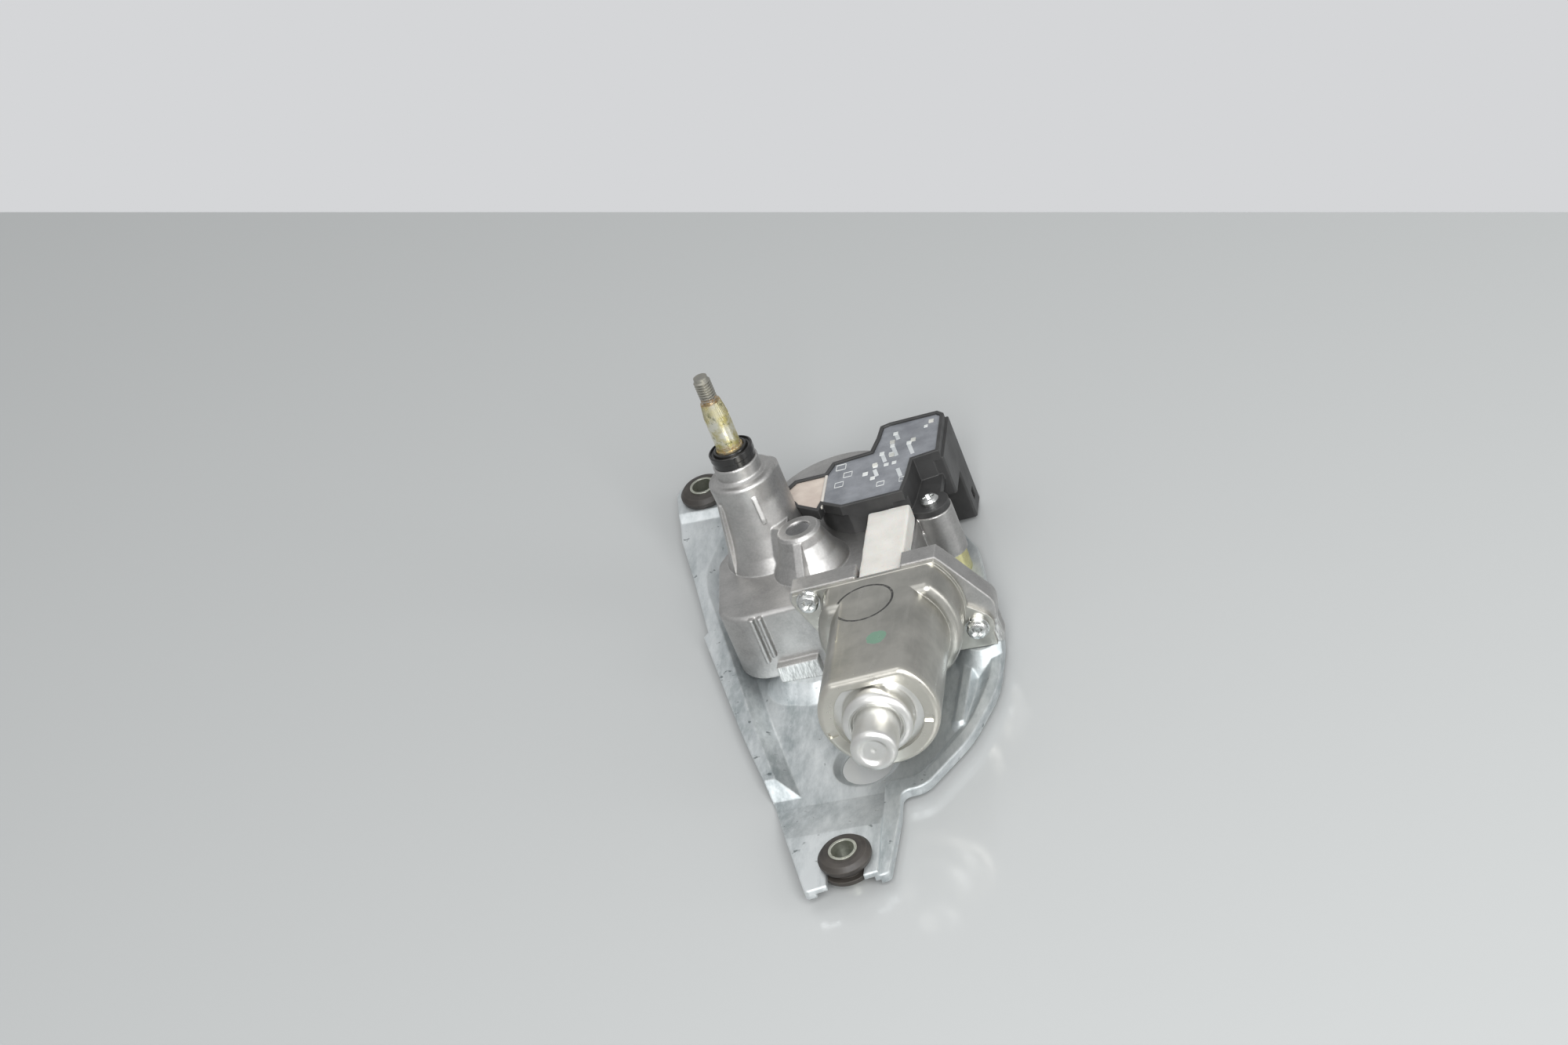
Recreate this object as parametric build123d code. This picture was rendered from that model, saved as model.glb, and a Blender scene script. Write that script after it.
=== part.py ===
from build123d import *
import math
import os

os.makedirs("parts", exist_ok=True)

# A rear-window wiper motor. The bracket lies level in the X-Y plane with its floor's top face at Z = 0.
# The gear unit stands on it at a slant, so its pieces are drawn in the unit's own frame, whose +Z is
# the wiper spindle, and are then turned into place. All sizes are in millimetres and degrees.

# Slant of the gear unit on its bracket
LEAN_LEFT = 4.0
LEAN_BACK = 6.5
UNIT = Rot(0, -LEAN_LEFT, 0) * Rot(-LEAN_BACK, 0, 0)

# Clearances
RUN_GAP = 0.05
DRAFT_GAP = 0.3
SIDE_GAP = 0.4
PIVOT_GAP = 0.4
TINY = 0.01

# Wiper spindle, heights from the unit's base point on the spindle axis
SPINDLE_R = 4.8
NECK_R = 4.4
THREAD_R = 3.0
TAPER_TOP_R = 3.6
SPINDLE_FOOT_Z = 7.2
TAPER_FOOT_Z = 84.5
TAPER_TOP_Z = 90.0
SPINDLE_TIP_Z = 100.0
THREAD_PITCH = 1.0
WASHER_THICK = 1.0
WASHER_R = 7.0
CLIP_THICK = 1.0
CLIP_GRIP = 0.6
CLIP_R = 6.4
KNURL_COUNT = 36
KNURL_DEPTH = 0.22

# Gear train
MODULE = 1.0
PINION_TEETH = 14
SECTOR_TEETH = 32
WHEEL_TEETH = 43
ADDENDUM = 0.85
DEDENDUM = 1.15
TOOTH_BACKLASH = 0.22
SECTOR_CENTRES = MODULE * (PINION_TEETH + SECTOR_TEETH) / 2 + 0.1
SECTOR_PIVOT_ANGLE = -44.6
SECTOR_Z = 8.0
SECTOR_THICK = 4.2
SECTOR_HALF_ANGLE = 44.0
TAIL_ARM = 17.0
TAIL_ANGLE = 6.0
LINK_Z = 12.5
LINK_THICK = 2.0
LINK_EYE_R = 4.2
PIN_R = 2.0
TAIL_TRAVEL = 6.6
WHEEL_X = 20.25
WHEEL_Y = 29.0
WHEEL_Z = 15.2
WHEEL_THICK = 8.2
WHEEL_WEB = 3.0
WHEEL_RIM = 3.4
WHEEL_HUB_R = 6.0
WHEEL_PIN_R = 3.0
CRANK_R = 6.4
WORM_R = 4.5
WORM_TURNS = 5
WORM_THREAD = 1.15
GEAR_CENTRES = MODULE * WHEEL_TEETH / 2 + WORM_R + 0.05

# Motor: its axis runs along the unit's Y, and its can points to -Y
MOTOR_X = WHEEL_X + GEAR_CENTRES
MOTOR_Z = WHEEL_Z + WHEEL_THICK / 2 - 0.2
FLANGE_Y = -47.0
CAN_R = 20.2
CAN_BASE_R = 24.4
CAN_BASE_LEN = 12.0
CAN_SHOULDER = 3.2
CAN_CORNER = 3.6
CAN_LEN = 61.4
CAN_WALL = 1.6
CAN_FLAT = 15.8
RIM_ROUND = 2.0
RIM_MOUTH_R = 14.9
RIM_MOUTH_FLAT = 12.3
STAKES = [(-16.9, -3.0), (15.6, -5.2)]
FLANGE_THICK = 1.5
FLANGE_LIP = 1.0
SCREW_DX = CAN_BASE_R + 1.5
SCREW_DZ = 13.0
EAR_R = 5.8
EAR_FOOT_Z = -23.4
MOTOR_SCREW_R = 2.0
MOTOR_HEAD_R = 3.6
SPRING_R = 4.1
SPRING_THICK = 1.1
END_PLATE_DEPTH = 2.2
END_PLATE_THICK = 1.4
CUP_R = 11.8
CUP_LEN = 8.0
NOSE_R = 7.7
NOSE_LEN = 20.0
SHAFT_R = 2.5
CORE_R = 12.9
CORE_LEN = CAN_LEN - 35.4
CORE_SLOTS = 10
MAGNET_IN_R = 13.6
MAGNET_LEN = CAN_LEN - 29.4
MAGNET_HALF_ANGLE = 46.0
COMMUTATOR_R = 5.6
COMMUTATOR_LEN = 9.0
COMMUTATOR_BARS = 10
BRUSH_W = 4.0
BRUSH_LEN = 7.0

# Die-cast gear housing
TOP_Z = 27.0
ROOF = 2.7
BASE_LEVEL = 5.3
COVER_THICK = 0.8
COVER_INSET = 1.2
WHEEL_ROOM_R = 24.0
HOUSING_WALL = 2.5
MOTOR_BLOCK_Y = -39.0
MOTOR_BLOCK_Z = 35.0
WORM_TUBE_R = 8.0
WORM_TUBE_END_Y = 44.0
WORM_BORE_R = 6.2
WORM_END_WALL = 2.6
END_BUSH_R = 4.8
END_BUSH_LEN = 3.4
TOWER_R = 11.8
TOWER_FOOT_R = 17.0
TOWER_SHOULDER_Z = 59.6
COLLAR_R = 8.2
COLLAR_Z = 65.5
BUSH_R = 6.2
LOWER_BUSH_Z = 14.0
LOWER_BUSH_LEN = 12.0
UPPER_BUSH_Z = 47.0
UPPER_BUSH_LEN = 12.0
BOSS_TOP_Z = 42.0
BOSS_R = 8.0
BOSS_FOOT_R = 15.0
SECTOR_PIN_R = 4.4
POST_X = 59.5
POST_Y = 0.5
POST_R = 7.0
POST_TOP_Z = TOP_Z
COLLAR_TOP_Z = 9.0
COLLAR_OUT_R = 6.0
COLLAR_IN_R = 2.8

# Seal at the tower's mouth
SEAL_R = 8.0
SEAL_Z = COLLAR_Z
SEAL_TOP_Z = 71.0

# Stamped bracket, in its own level frame
SHEET = 2.0
RIM_LEVEL = 5.0
SEAT_LEVEL = 7.0
FLANGE_DEPTH = 3.6
ARM_STRIP_X = 38.0
WALL_SLOPE = 50.0
PAD_SLOPE = 48.0
POST_SLOPE = 35.0
DRAIN = (29.5, -87.0)
DRAIN_R = 9.0
DRAIN_DISH_R = 12.0
HEEL_X = 5.8
HEEL_Y = -42.0
LUG_X = 72.3
LUG_Y = -43.2
LUG_PAD_LEVEL = 8.0
GROMMET_R = 9.0
GROMMET_WAIST_R = 6.6
GROMMET_LIP = 4.2
GROMMET_FOOT = 2.6
SLEEVE_R = 4.8
SLEEVE_BORE_R = 3.9
SLEEVE_PROUD = 0.4
NOTCH_R = 6.7
GROMMETS = {
    "front": (27.0, -140.2, -90.0),
    "rear_left": (-38.6, 69.0, 90.0),
    "rear_right": (36.0, 69.0, 90.0),
}

# Plan of the bracket and of its sunk floor: place and rounding radius of each corner
OUTLINE = [
    (-50.0, 71.0, 5.0), (-46.5, 46.0, 20.0), (-39.7, 21.9, 20.0), (-31.6, -9.6, 0.8), (-33.0, -12.0, 0.8),
    (-15.4, -65.3, 60.0), (-1.9, -101.5, 30.0), (3.6, -119.7, 30.0), (13.6, -152.6, 1.6), (41.2, -147.6, 1.6),
    (43.6, -122.0, 12.0), (43.6, -109.5, 3.0), (51.0, -110.5, 9.0), (67.0, -89.5, 45.0), (75.8, -67.0, 50.0),
    (77.4, -41.0, 50.0), (71.0, -12.0, 40.0), (67.0, 10.0, 8.0), (61.0, 20.0, 5.0), (44.0, 22.0, 5.0), (44.0, 50.0, 6.0),
    (50.0, 60.0, 6.0), (49.5, 77.0, 5.0), (24.0, 77.0, 5.0), (10.0, 64.0, 6.0), (-14.0, 64.0, 6.0), (-24.0, 77.0, 5.0),
    (-49.0, 77.0, 5.0),
]
PAN = [
    (-24.0, 48.0, 5.0), (-30.0, 22.0, 12.0), (-18.5, -16.0, 30.0), (-5.0, -62.0, 30.0), (7.0, -98.5, 3.0), (12.0, -112.0, 4.0),
    (36.0, -112.0, 3.0), (37.5, -102.0, 4.0), (48.5, -97.5, 10.0), (61.2, -79.0, 34.0), (67.0, -60.0, 34.0), (67.2, -36.0, 20.0),
    (54.0, -14.0, 8.0), (48.0, 10.0, 8.0), (32.0, 20.0, 6.0), (32.0, 48.0, 6.0),
]

# Connector tray over the gear housing, and its plug hood at the right
TRAY_TOP_Z = 39.0
TRAY_FLOOR_Z = 35.2
TRAY_WALL = 1.3
TRAY_FOOT_Z = TOP_Z
TRAY_HOLLOW_R = 12.9
LUG_R = 6.6
TRAY_SCREW_R = 1.5
LUG_THICK = 2.4
HOOD_X = (54.9, 65.3)
HOOD_Y = (32.4, 46.0)
HOOD_FOOT_Z = 0.6
HOOD_STEP_Z = 20.5
HOOD_SHORT_Y = 18.0
SOCKET_WALL = 1.3
SOCKET_DEPTH = 15.0
POTTING_THICK = 2.4
TERMINAL_COUNT = 4

# Foam pad beside the tray
FOAM_X = (38.4, 54.0)
FOAM_THICK = 6.8

# Where the gear unit is screwed to the bracket from below: place and height of each seat
FOOT_SCREW_R = 1.5
FOOT_HEAD_R = 3.0
FOOT_HEAD_H = 2.6
FOOT_SCREW_GRIP = 4.6
FEET = [
    (HEEL_X, HEEL_Y, BASE_LEVEL),
    (LUG_X, LUG_Y, LUG_PAD_LEVEL),
]

PIVOT_X = SECTOR_CENTRES * math.cos(math.radians(SECTOR_PIVOT_ANGLE))
PIVOT_Y = SECTOR_CENTRES * math.sin(math.radians(SECTOR_PIVOT_ANGLE))
TAIL_X = PIVOT_X + TAIL_ARM * math.cos(math.radians(TAIL_ANGLE))
TAIL_Y = PIVOT_Y + TAIL_ARM * math.sin(math.radians(TAIL_ANGLE))
CRANK_X = WHEEL_X + CRANK_R
CRANK_Y = WHEEL_Y
MOTOR_PLANE = Plane(origin=(MOTOR_X, FLANGE_Y, MOTOR_Z), x_dir=(1, 0, 0), z_dir=(0, -1, 0))
MOTOR = UNIT * MOTOR_PLANE.location


def save(name, shape, colour):
    """Write one sub-part under its node's name."""
    shape.label = name
    shape.color = Color(*colour)
    export_step(shape, f"parts/{name}.step")


def rod(radius, low, high, x=0.0, y=0.0):
    """A round bar along Z from one height to another."""
    bar = Cylinder(radius, high - low, align=(Align.CENTER, Align.CENTER, Align.MIN))
    return Pos(x, y, low) * bar


def tube(outer, inner, low, high, x=0.0, y=0.0):
    """A round bar with a through hole."""
    return rod(outer, low, high, x, y) - rod(inner, low - TINY, high + TINY, x, y)


def block(x_range, y_range, z_range):
    """A box given by its limits."""
    size = [hi - lo for lo, hi in (x_range, y_range, z_range)]
    low = Align.MIN
    return Pos(x_range[0], y_range[0], z_range[0]) * Box(*size, align=(low, low, low))


def hull_face(circles):
    """The outline that a band drawn tight round several circles would have."""
    edges = Sketch()
    for x, y, radius in circles:
        edges += Pos(x, y) * Circle(radius)
    return make_hull(edges.edges())


def slab(circles, low, high):
    """A rounded prism between two heights."""
    return Pos(0, 0, low) * extrude(hull_face(circles), amount=high - low)


def turned(points):
    """A turned piece about Z from its half outline of radius and height."""
    outline = Polyline(*[(r, 0, z) for r, z in points], close=True)
    return revolve(make_face(outline), axis=Axis.Z)


def turned_soft(corners):
    """A turned piece about Z from its half outline of radius, height and corner radius."""
    outline = FilletPolyline(*[(r, 0, z) for r, z, _ in corners], radius=[c for _, _, c in corners], close=True)
    return revolve(make_face(outline), axis=Axis.Z)


def involute_flank(base_r, from_r, to_r, steps):
    """Polar points of one involute flank, as radius and angle in radians."""
    points = []
    for step in range(steps + 1):
        radius = from_r + (to_r - from_r) * step / steps
        pressure = math.acos(min(1.0, base_r / radius))
        points.append((radius, math.tan(pressure) - pressure))
    return points


def tooth_points(teeth, centre_angle, steps=2):
    """Outline points of one gear tooth, in order of angle, with its pitch thickness cut for backlash."""
    pitch_r = MODULE * teeth / 2
    base_r = pitch_r * math.cos(math.radians(20))
    root_r = pitch_r - DEDENDUM * MODULE
    tip_r = pitch_r + ADDENDUM * MODULE
    start_r = max(base_r, root_r)
    half = (math.pi * MODULE / 2 - TOOTH_BACKLASH) / (2 * pitch_r)
    at_pitch = involute_flank(base_r, pitch_r, pitch_r, 1)[0][1]
    flank = involute_flank(base_r, start_r, tip_r, steps)
    rising = [(r, centre_angle - half - at_pitch + a) for r, a in flank]
    falling = [(r, centre_angle + half + at_pitch - a) for r, a in reversed(flank)]
    if root_r < base_r:
        rising.insert(0, (root_r, rising[0][1]))
        falling.append((root_r, falling[-1][1]))
    return [(r * math.cos(a), r * math.sin(a)) for r, a in rising + falling]


def gear_disc(teeth, phase, low, high):
    """A full spur gear between two heights, with one tooth centred on the phase angle in degrees."""
    points = []
    for index in range(teeth):
        points += tooth_points(teeth, math.radians(phase) + 2 * math.pi * index / teeth)
    return Pos(0, 0, low) * extrude(make_face(Polyline(*points, close=True)), amount=high - low)


def base_cut(level):
    """Everything below a level of the bracket's frame, seen from the unit's frame."""
    half = 150.0
    waste = block((-half, half), (-half, half), (level - half, level))
    return UNIT.inverse() * waste


def wiper_spindle():
    """Spindle with its drive pinion, fine splined taper and threaded tip."""
    shaft = rod(SPINDLE_R, SPINDLE_FOOT_Z, SEAL_TOP_Z + DRAFT_GAP)
    shaft += rod(NECK_R, SEAL_TOP_Z, TAPER_FOOT_Z)
    cone = Pos(0, 0, (TAPER_FOOT_Z + TAPER_TOP_Z) / 2) * Cone(
        NECK_R, TAPER_TOP_R, TAPER_TOP_Z - TAPER_FOOT_Z
    )
    shaft += cone
    root_r = THREAD_R - 0.55 * THREAD_PITCH
    shaft += rod(root_r, TAPER_TOP_Z, SPINDLE_TIP_Z)
    turns = int((SPINDLE_TIP_Z - TAPER_TOP_Z - 1.4) / THREAD_PITCH)
    crest = THREAD_PITCH / 2
    for turn in range(turns):
        foot = TAPER_TOP_Z + 0.7 + turn * THREAD_PITCH
        shaft += turned([(0, foot), (root_r, foot), (THREAD_R, foot + crest * 0.8),
                         (THREAD_R, foot + crest * 1.2), (root_r, foot + 2 * crest), (0, foot + 2 * crest)])
    slope = math.degrees(math.atan2(NECK_R - TAPER_TOP_R, TAPER_TOP_Z - TAPER_FOOT_Z))
    flute = Rot(0, -slope, 0) * Box(2 * KNURL_DEPTH, 2 * KNURL_DEPTH, 2 * (TAPER_TOP_Z - TAPER_FOOT_Z))
    flute = Pos((NECK_R + TAPER_TOP_R) / 2, 0, (TAPER_FOOT_Z + TAPER_TOP_Z) / 2) * flute
    flutes = [Rot(0, 0, 360 * index / KNURL_COUNT) * flute for index in range(KNURL_COUNT)]
    shaft -= flutes
    groove_z = UPPER_BUSH_Z + UPPER_BUSH_LEN + WASHER_THICK + RUN_GAP
    shaft -= tube(SPINDLE_R + 1, SPINDLE_R - CLIP_GRIP, groove_z, groove_z + CLIP_THICK)
    pinion = gear_disc(PINION_TEETH, SECTOR_PIVOT_ANGLE, SPINDLE_FOOT_Z + SIDE_GAP, LOWER_BUSH_Z - SIDE_GAP)
    return shaft + pinion


def thrust_washer():
    """Flat washer between the upper bush and the spindle's retaining ring."""
    low = UPPER_BUSH_Z + UPPER_BUSH_LEN
    return tube(WASHER_R, SPINDLE_R + RUN_GAP, low, low + WASHER_THICK)


def retaining_ring():
    """Open spring ring in the spindle's groove."""
    low = UPPER_BUSH_Z + UPPER_BUSH_LEN + WASHER_THICK + RUN_GAP
    ring = tube(CLIP_R, SPINDLE_R - CLIP_GRIP, low, low + CLIP_THICK)
    return ring - block((0, CLIP_R + 1), (-1.6, 1.6), (low - 1, low + CLIP_THICK + 1))


def spindle_bush(low, length):
    """Sintered bearing bush in the tower."""
    return tube(BUSH_R, SPINDLE_R + RUN_GAP, low, low + length)


def spindle_seal():
    """Glossy rubber cap that closes the tower's mouth round the spindle."""
    lip_r = SPINDLE_R + RUN_GAP
    top = SEAL_TOP_Z
    return turned_soft([
        (lip_r, SEAL_Z, 0), (lip_r, top - 0.4, 0), (lip_r + 0.5, top, 0.2), (lip_r + 1.1, top - 0.2, 0.3),
        (lip_r + 1.5, top - 1.4, 0.2), (SEAL_R - 0.9, top - 1.3, 0.2), (SEAL_R - 0.6, top - 0.4, 0.2),
        (SEAL_R, top - 0.8, 0.3), (SEAL_R, SEAL_Z + 2.4, 0.2), (SEAL_R - 0.4, SEAL_Z + 2.0, 0.1),
        (SEAL_R - 0.4, SEAL_Z, 0),
    ])


def sector_lever():
    """Toothed sector that swings on the housing's pin, with a tail pin for the link."""
    low = SECTOR_Z
    high = SECTOR_Z + SECTOR_THICK
    toward = SECTOR_PIVOT_ANGLE + 180
    disc = gear_disc(SECTOR_TEETH, toward + 180 / SECTOR_TEETH, low, high)
    span = SECTOR_TEETH * MODULE
    edge_a = math.radians(toward - SECTOR_HALF_ANGLE)
    edge_b = math.radians(toward + SECTOR_HALF_ANGLE)
    fan = make_face(Polyline(
        (0, 0), (span * math.cos(edge_a), span * math.sin(edge_a)),
        (span * math.cos(math.radians(toward)), span * math.sin(math.radians(toward))),
        (span * math.cos(edge_b), span * math.sin(edge_b)), close=True,
    ))
    body = disc & (Pos(0, 0, low) * extrude(fan, amount=high - low))
    hub_r = SECTOR_PIN_R + 3.0
    arm = slab([(0, 0, hub_r), (TAIL_X - PIVOT_X, TAIL_Y - PIVOT_Y, LINK_EYE_R)], low, high)
    body = Pos(PIVOT_X, PIVOT_Y) * (body + arm + rod(hub_r, low, high))
    body -= rod(SECTOR_PIN_R - 1.4 + RUN_GAP, low - 1, high + 1, PIVOT_X, PIVOT_Y)
    window_r = MODULE * SECTOR_TEETH / 2 - 3.6
    for side in (-1, 1):
        aim = math.radians(toward + side * 20)
        window = rod(1.9, low - 1, high + 1, PIVOT_X + (window_r - 1.6) * math.cos(aim),
                     PIVOT_Y + (window_r - 1.6) * math.sin(aim))
        body -= window
    return body + rod(PIN_R, low, LINK_Z + LINK_THICK, TAIL_X, TAIL_Y)


def drive_link():
    """Flat link from the sector's tail pin to the wheel's crank, with its crank stud."""
    low = LINK_Z
    high = LINK_Z + LINK_THICK
    plate = slab([(TAIL_X, TAIL_Y, LINK_EYE_R), (CRANK_X, CRANK_Y, LINK_EYE_R)], low, high)
    waist = 0.72 * LINK_EYE_R
    reach = math.hypot(CRANK_X - TAIL_X, CRANK_Y - TAIL_Y)
    heading = math.degrees(math.atan2(CRANK_Y - TAIL_Y, CRANK_X - TAIL_X))
    for side in (-1, 1):
        cut_low = waist if side > 0 else -2 * LINK_EYE_R
        cut_high = 2 * LINK_EYE_R if side > 0 else -waist
        cut = block((LINK_EYE_R + 1, reach - LINK_EYE_R - 1), (cut_low, cut_high), (low - 1, high + 1))
        plate -= Pos(TAIL_X, TAIL_Y) * Rot(0, 0, heading) * cut
    plate -= rod(PIN_R + RUN_GAP, low - 1, high + 1, TAIL_X, TAIL_Y)
    stud_top = WHEEL_Z - PIVOT_GAP
    return plate + rod(PIN_R, low - 1.0, stud_top, CRANK_X, CRANK_Y)


def sector_pin():
    """Fixed shouldered pin on which the sector swings. Its head shows as the plug in the boss."""
    pin_r = SECTOR_PIN_R - 1.4
    low = SECTOR_Z - 1.2
    shoulder = SECTOR_Z + SECTOR_THICK + SIDE_GAP
    pin = rod(pin_r, low, shoulder, PIVOT_X, PIVOT_Y)
    return pin + rod(SECTOR_PIN_R, shoulder, BOSS_TOP_Z - 0.5, PIVOT_X, PIVOT_Y)


def worm_wheel():
    """Moulded worm wheel with a rim, a ribbed web and a hub."""
    gap_phase = 180 / WHEEL_TEETH
    low = WHEEL_Z
    high = WHEEL_Z + WHEEL_THICK
    wheel = gear_disc(WHEEL_TEETH, gap_phase, low, high)
    rim_r = MODULE * WHEEL_TEETH / 2 - DEDENDUM - WHEEL_RIM
    web_low = low + WHEEL_WEB
    pocket = tube(rim_r, WHEEL_HUB_R, web_low, high + 1)
    rib = block((WHEEL_HUB_R - 1, rim_r + 1), (-0.8, 0.8), (web_low, high - 1))
    ribs = Part() + [Rot(0, 0, 60 * index) * rib for index in range(6)]
    wheel -= pocket - ribs
    wheel -= rod(WHEEL_PIN_R + RUN_GAP, low - 1, high + 1)
    return Pos(WHEEL_X, WHEEL_Y) * wheel


def wheel_pin():
    """Fixed pin of the worm wheel, pressed into the housing's roof."""
    return rod(WHEEL_PIN_R, WHEEL_Z - 0.6, TOP_Z - 0.8, WHEEL_X, WHEEL_Y)


def armature_shaft():
    """Motor shaft that ends in the worm, along the motor's own Z."""
    worm_mid = FLANGE_Y - WHEEL_Y
    half = WORM_TURNS * math.pi * MODULE / 2
    worm_root = WORM_R - DEDENDUM * MODULE
    shaft = rod(SHAFT_R, FLANGE_Y - WORM_TUBE_END_Y + WORM_END_WALL + 0.5, CAN_LEN + NOSE_LEN - 5.0)
    shaft += rod(worm_root, worm_mid - half - 0.4, worm_mid + half + 3)
    lead = math.pi * MODULE
    root_half = WORM_THREAD / 2 + math.tan(math.radians(20)) * DEDENDUM * MODULE
    tip_half = WORM_THREAD / 2 - math.tan(math.radians(20)) * ADDENDUM * MODULE
    inner = worm_root - 0.15
    outer = WORM_R + ADDENDUM * MODULE
    path = Helix(lead, 2 * half, inner)
    profile = Plane(origin=(inner, 0, 0), x_dir=(1, 0, 0), z_dir=(0, -1, 0)) * make_face(Polyline(
        (0, -root_half), (outer - inner, -tip_half), (outer - inner, tip_half), (0, root_half), close=True,
    ))
    thread = sweep(profile, path=path, is_frenet=True)
    # The middle of the thread faces the wheel, which lies at the motor's -X.
    thread = Pos(0, 0, worm_mid - half) * Rot(0, 0, 180 - 180 * WORM_TURNS) * thread
    return shaft + thread


def armature_core():
    """Laminated rotor stack with open slots."""
    low = CAN_BASE_LEN + 8.0
    core = tube(CORE_R, SHAFT_R, low, low + CORE_LEN)
    for index in range(CORE_SLOTS):
        spoke = Rot(0, 0, 360 * index / CORE_SLOTS)
        core -= spoke * rod(1.9, low - 1, low + CORE_LEN + 1, CORE_R - 3.4)
        core -= spoke * block((CORE_R - 3, CORE_R + 1), (-0.6, 0.6), (low - 1, low + CORE_LEN + 1))
    return core


def armature_windings():
    """Copper end turns on both faces of the rotor stack."""
    low = CAN_BASE_LEN + 8.0
    coils = Part()
    for face, length in ((low - 4.5, 4.5), (low + CORE_LEN, 4.5)):
        coils += tube(CORE_R - 1.4, SHAFT_R + 1.2, face, face + length)
    for index in range(CORE_SLOTS):
        notch = Rot(0, 0, 360 * (index + 0.5) / CORE_SLOTS) * Pos(CORE_R - 0.6, 0, 0)
        coils -= notch * rod(1.3, low - 6, low + CORE_LEN + 6)
    return coils


def commutator():
    """Copper bars round the shaft."""
    high = CAN_BASE_LEN + 8.0 - 4.5 - 0.5
    low = high - COMMUTATOR_LEN
    bars = tube(COMMUTATOR_R, SHAFT_R, low, high)
    for index in range(COMMUTATOR_BARS):
        slot = block((COMMUTATOR_R - 0.6, COMMUTATOR_R + 1), (-0.25, 0.25), (low - 1, high + 1))
        bars -= Rot(0, 0, 360 * index / COMMUTATOR_BARS) * slot
    return bars


def d_face(radius, flat, corner=1.0):
    """A round outline with one flat at the top and rounded corners beside it."""
    face = Circle(radius) & Pos(0, flat - 2 * radius) * Rectangle(4 * radius, 4 * radius)
    return fillet(face.vertices(), corner)


def flange_face():
    """Outline of the motor's mounting flange: the can's foot with one ear at each screw."""
    ring = (0, 0, CAN_BASE_R + FLANGE_LIP)
    left_ear = (-SCREW_DX, SCREW_DZ, EAR_R)
    right_ear = (SCREW_DX, -SCREW_DZ, EAR_R)
    face = hull_face([ring, left_ear]) + hull_face([(0, -6, 18), right_ear])
    corner = Rectangle(SCREW_DX + EAR_R - 1.4, -EAR_FOOT_Z - SCREW_DZ, align=(Align.MIN, Align.MIN))
    face += Pos(0, EAR_FOOT_Z) * corner
    top = CAN_FLAT + FLANGE_LIP * 0.2
    return face & Pos(0, top - 60) * Rectangle(120, 120)


def casting_face():
    """Outline of the casting's face behind the flange."""
    circles = [(0, 0, CAN_BASE_R + 1.8), (-SCREW_DX, SCREW_DZ, EAR_R + 0.8), (SCREW_DX, -SCREW_DZ, EAR_R + 0.8),
               (SCREW_DX + 1.4, -SCREW_DZ + 6, EAR_R + 0.8)]
    return hull_face(circles) & Pos(0, CAN_FLAT + 1.0 - 60) * Rectangle(120, 120)


def motor_can():
    """Deep-drawn steel can: flange, wide foot, rounded shoulder, D-shaped body and drawn-in rim."""
    foot = extrude(d_face(CAN_BASE_R, CAN_FLAT, CAN_CORNER), amount=CAN_BASE_LEN + CAN_SHOULDER)
    foot = fillet(foot.faces().sort_by(Axis.Z)[-1].edges(), CAN_SHOULDER)
    body = extrude(d_face(CAN_R, CAN_FLAT, CAN_CORNER), amount=CAN_LEN)
    body = fillet(body.faces().sort_by(Axis.Z)[-1].edges(), RIM_ROUND)
    shell = foot + body
    flange = extrude(flange_face(), amount=FLANGE_THICK)
    pad_room = rod(13.0, -5, LUG_PAD_LEVEL + DRAFT_GAP, LUG_X, LUG_Y)
    shell += flange - MOTOR.inverse() * pad_room
    face = CAN_LEN - END_PLATE_DEPTH
    inner_r = CAN_R - CAN_WALL
    shell -= Pos(0, 0, -1) * extrude(d_face(inner_r, CAN_FLAT - CAN_WALL), amount=face + 1)
    shell -= extrude(d_face(RIM_MOUTH_R, RIM_MOUTH_FLAT), amount=CAN_LEN + 1)
    for x, y in STAKES:
        heading = math.degrees(math.atan2(y, x))
        notch = block((-1.6, 1.4), (-1.2, 1.2), (CAN_LEN - 0.8, CAN_LEN + 1))
        shell -= Pos(x, y) * Rot(0, 0, heading) * notch
    for side in (-1, 1):
        shell -= rod(MOTOR_SCREW_R + 0.2, -1, FLANGE_THICK + 1, side * SCREW_DX, -side * SCREW_DZ)
    return shell


def motor_end_cap():
    """Pressed end plate with its round-shouldered bearing cup and dished nose."""
    face = CAN_LEN - END_PLATE_DEPTH
    low = face - END_PLATE_THICK
    tip = CAN_LEN + NOSE_LEN
    plate = Pos(0, 0, low) * extrude(d_face(CAN_R - CAN_WALL, CAN_FLAT - CAN_WALL), amount=END_PLATE_THICK)
    cup = turned_soft([
        (0, low, 0), (CUP_R + 2.0, low, 0), (CUP_R + 2.0, face, 0), (CUP_R, face, 0.4), (CUP_R, face + CUP_LEN, 2.6),
        (NOSE_R + 1.0, face + CUP_LEN, 0.9), (NOSE_R + 0.2, face + CUP_LEN - 1.6, 0.2), (NOSE_R, face + CUP_LEN - 1.6, 0.1),
        (NOSE_R, tip, 1.8), (4.9, tip, 0.6), (4.1, tip - 0.9, 0.6), (0.9, tip - 1.0, 0), (0, tip - 1.4, 0),
    ])
    room = rod(CUP_R - 1.4, low - 1, face + CUP_LEN - 3.2) + rod(NOSE_R - 1.4, low, tip - 2.6)
    return plate + cup - room


def nose_bush():
    """Bearing bush in the end cap's nose."""
    high = CAN_LEN + NOSE_LEN - 4.0
    return tube(NOSE_R - 1.4, SHAFT_R + RUN_GAP, high - 9, high)


def thrust_ball():
    """Steel ball that takes the shaft's end thrust."""
    high = CAN_LEN + NOSE_LEN - 2.6
    radius = 1.15
    return Pos(0, 0, high - radius) * Sphere(radius)


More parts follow.
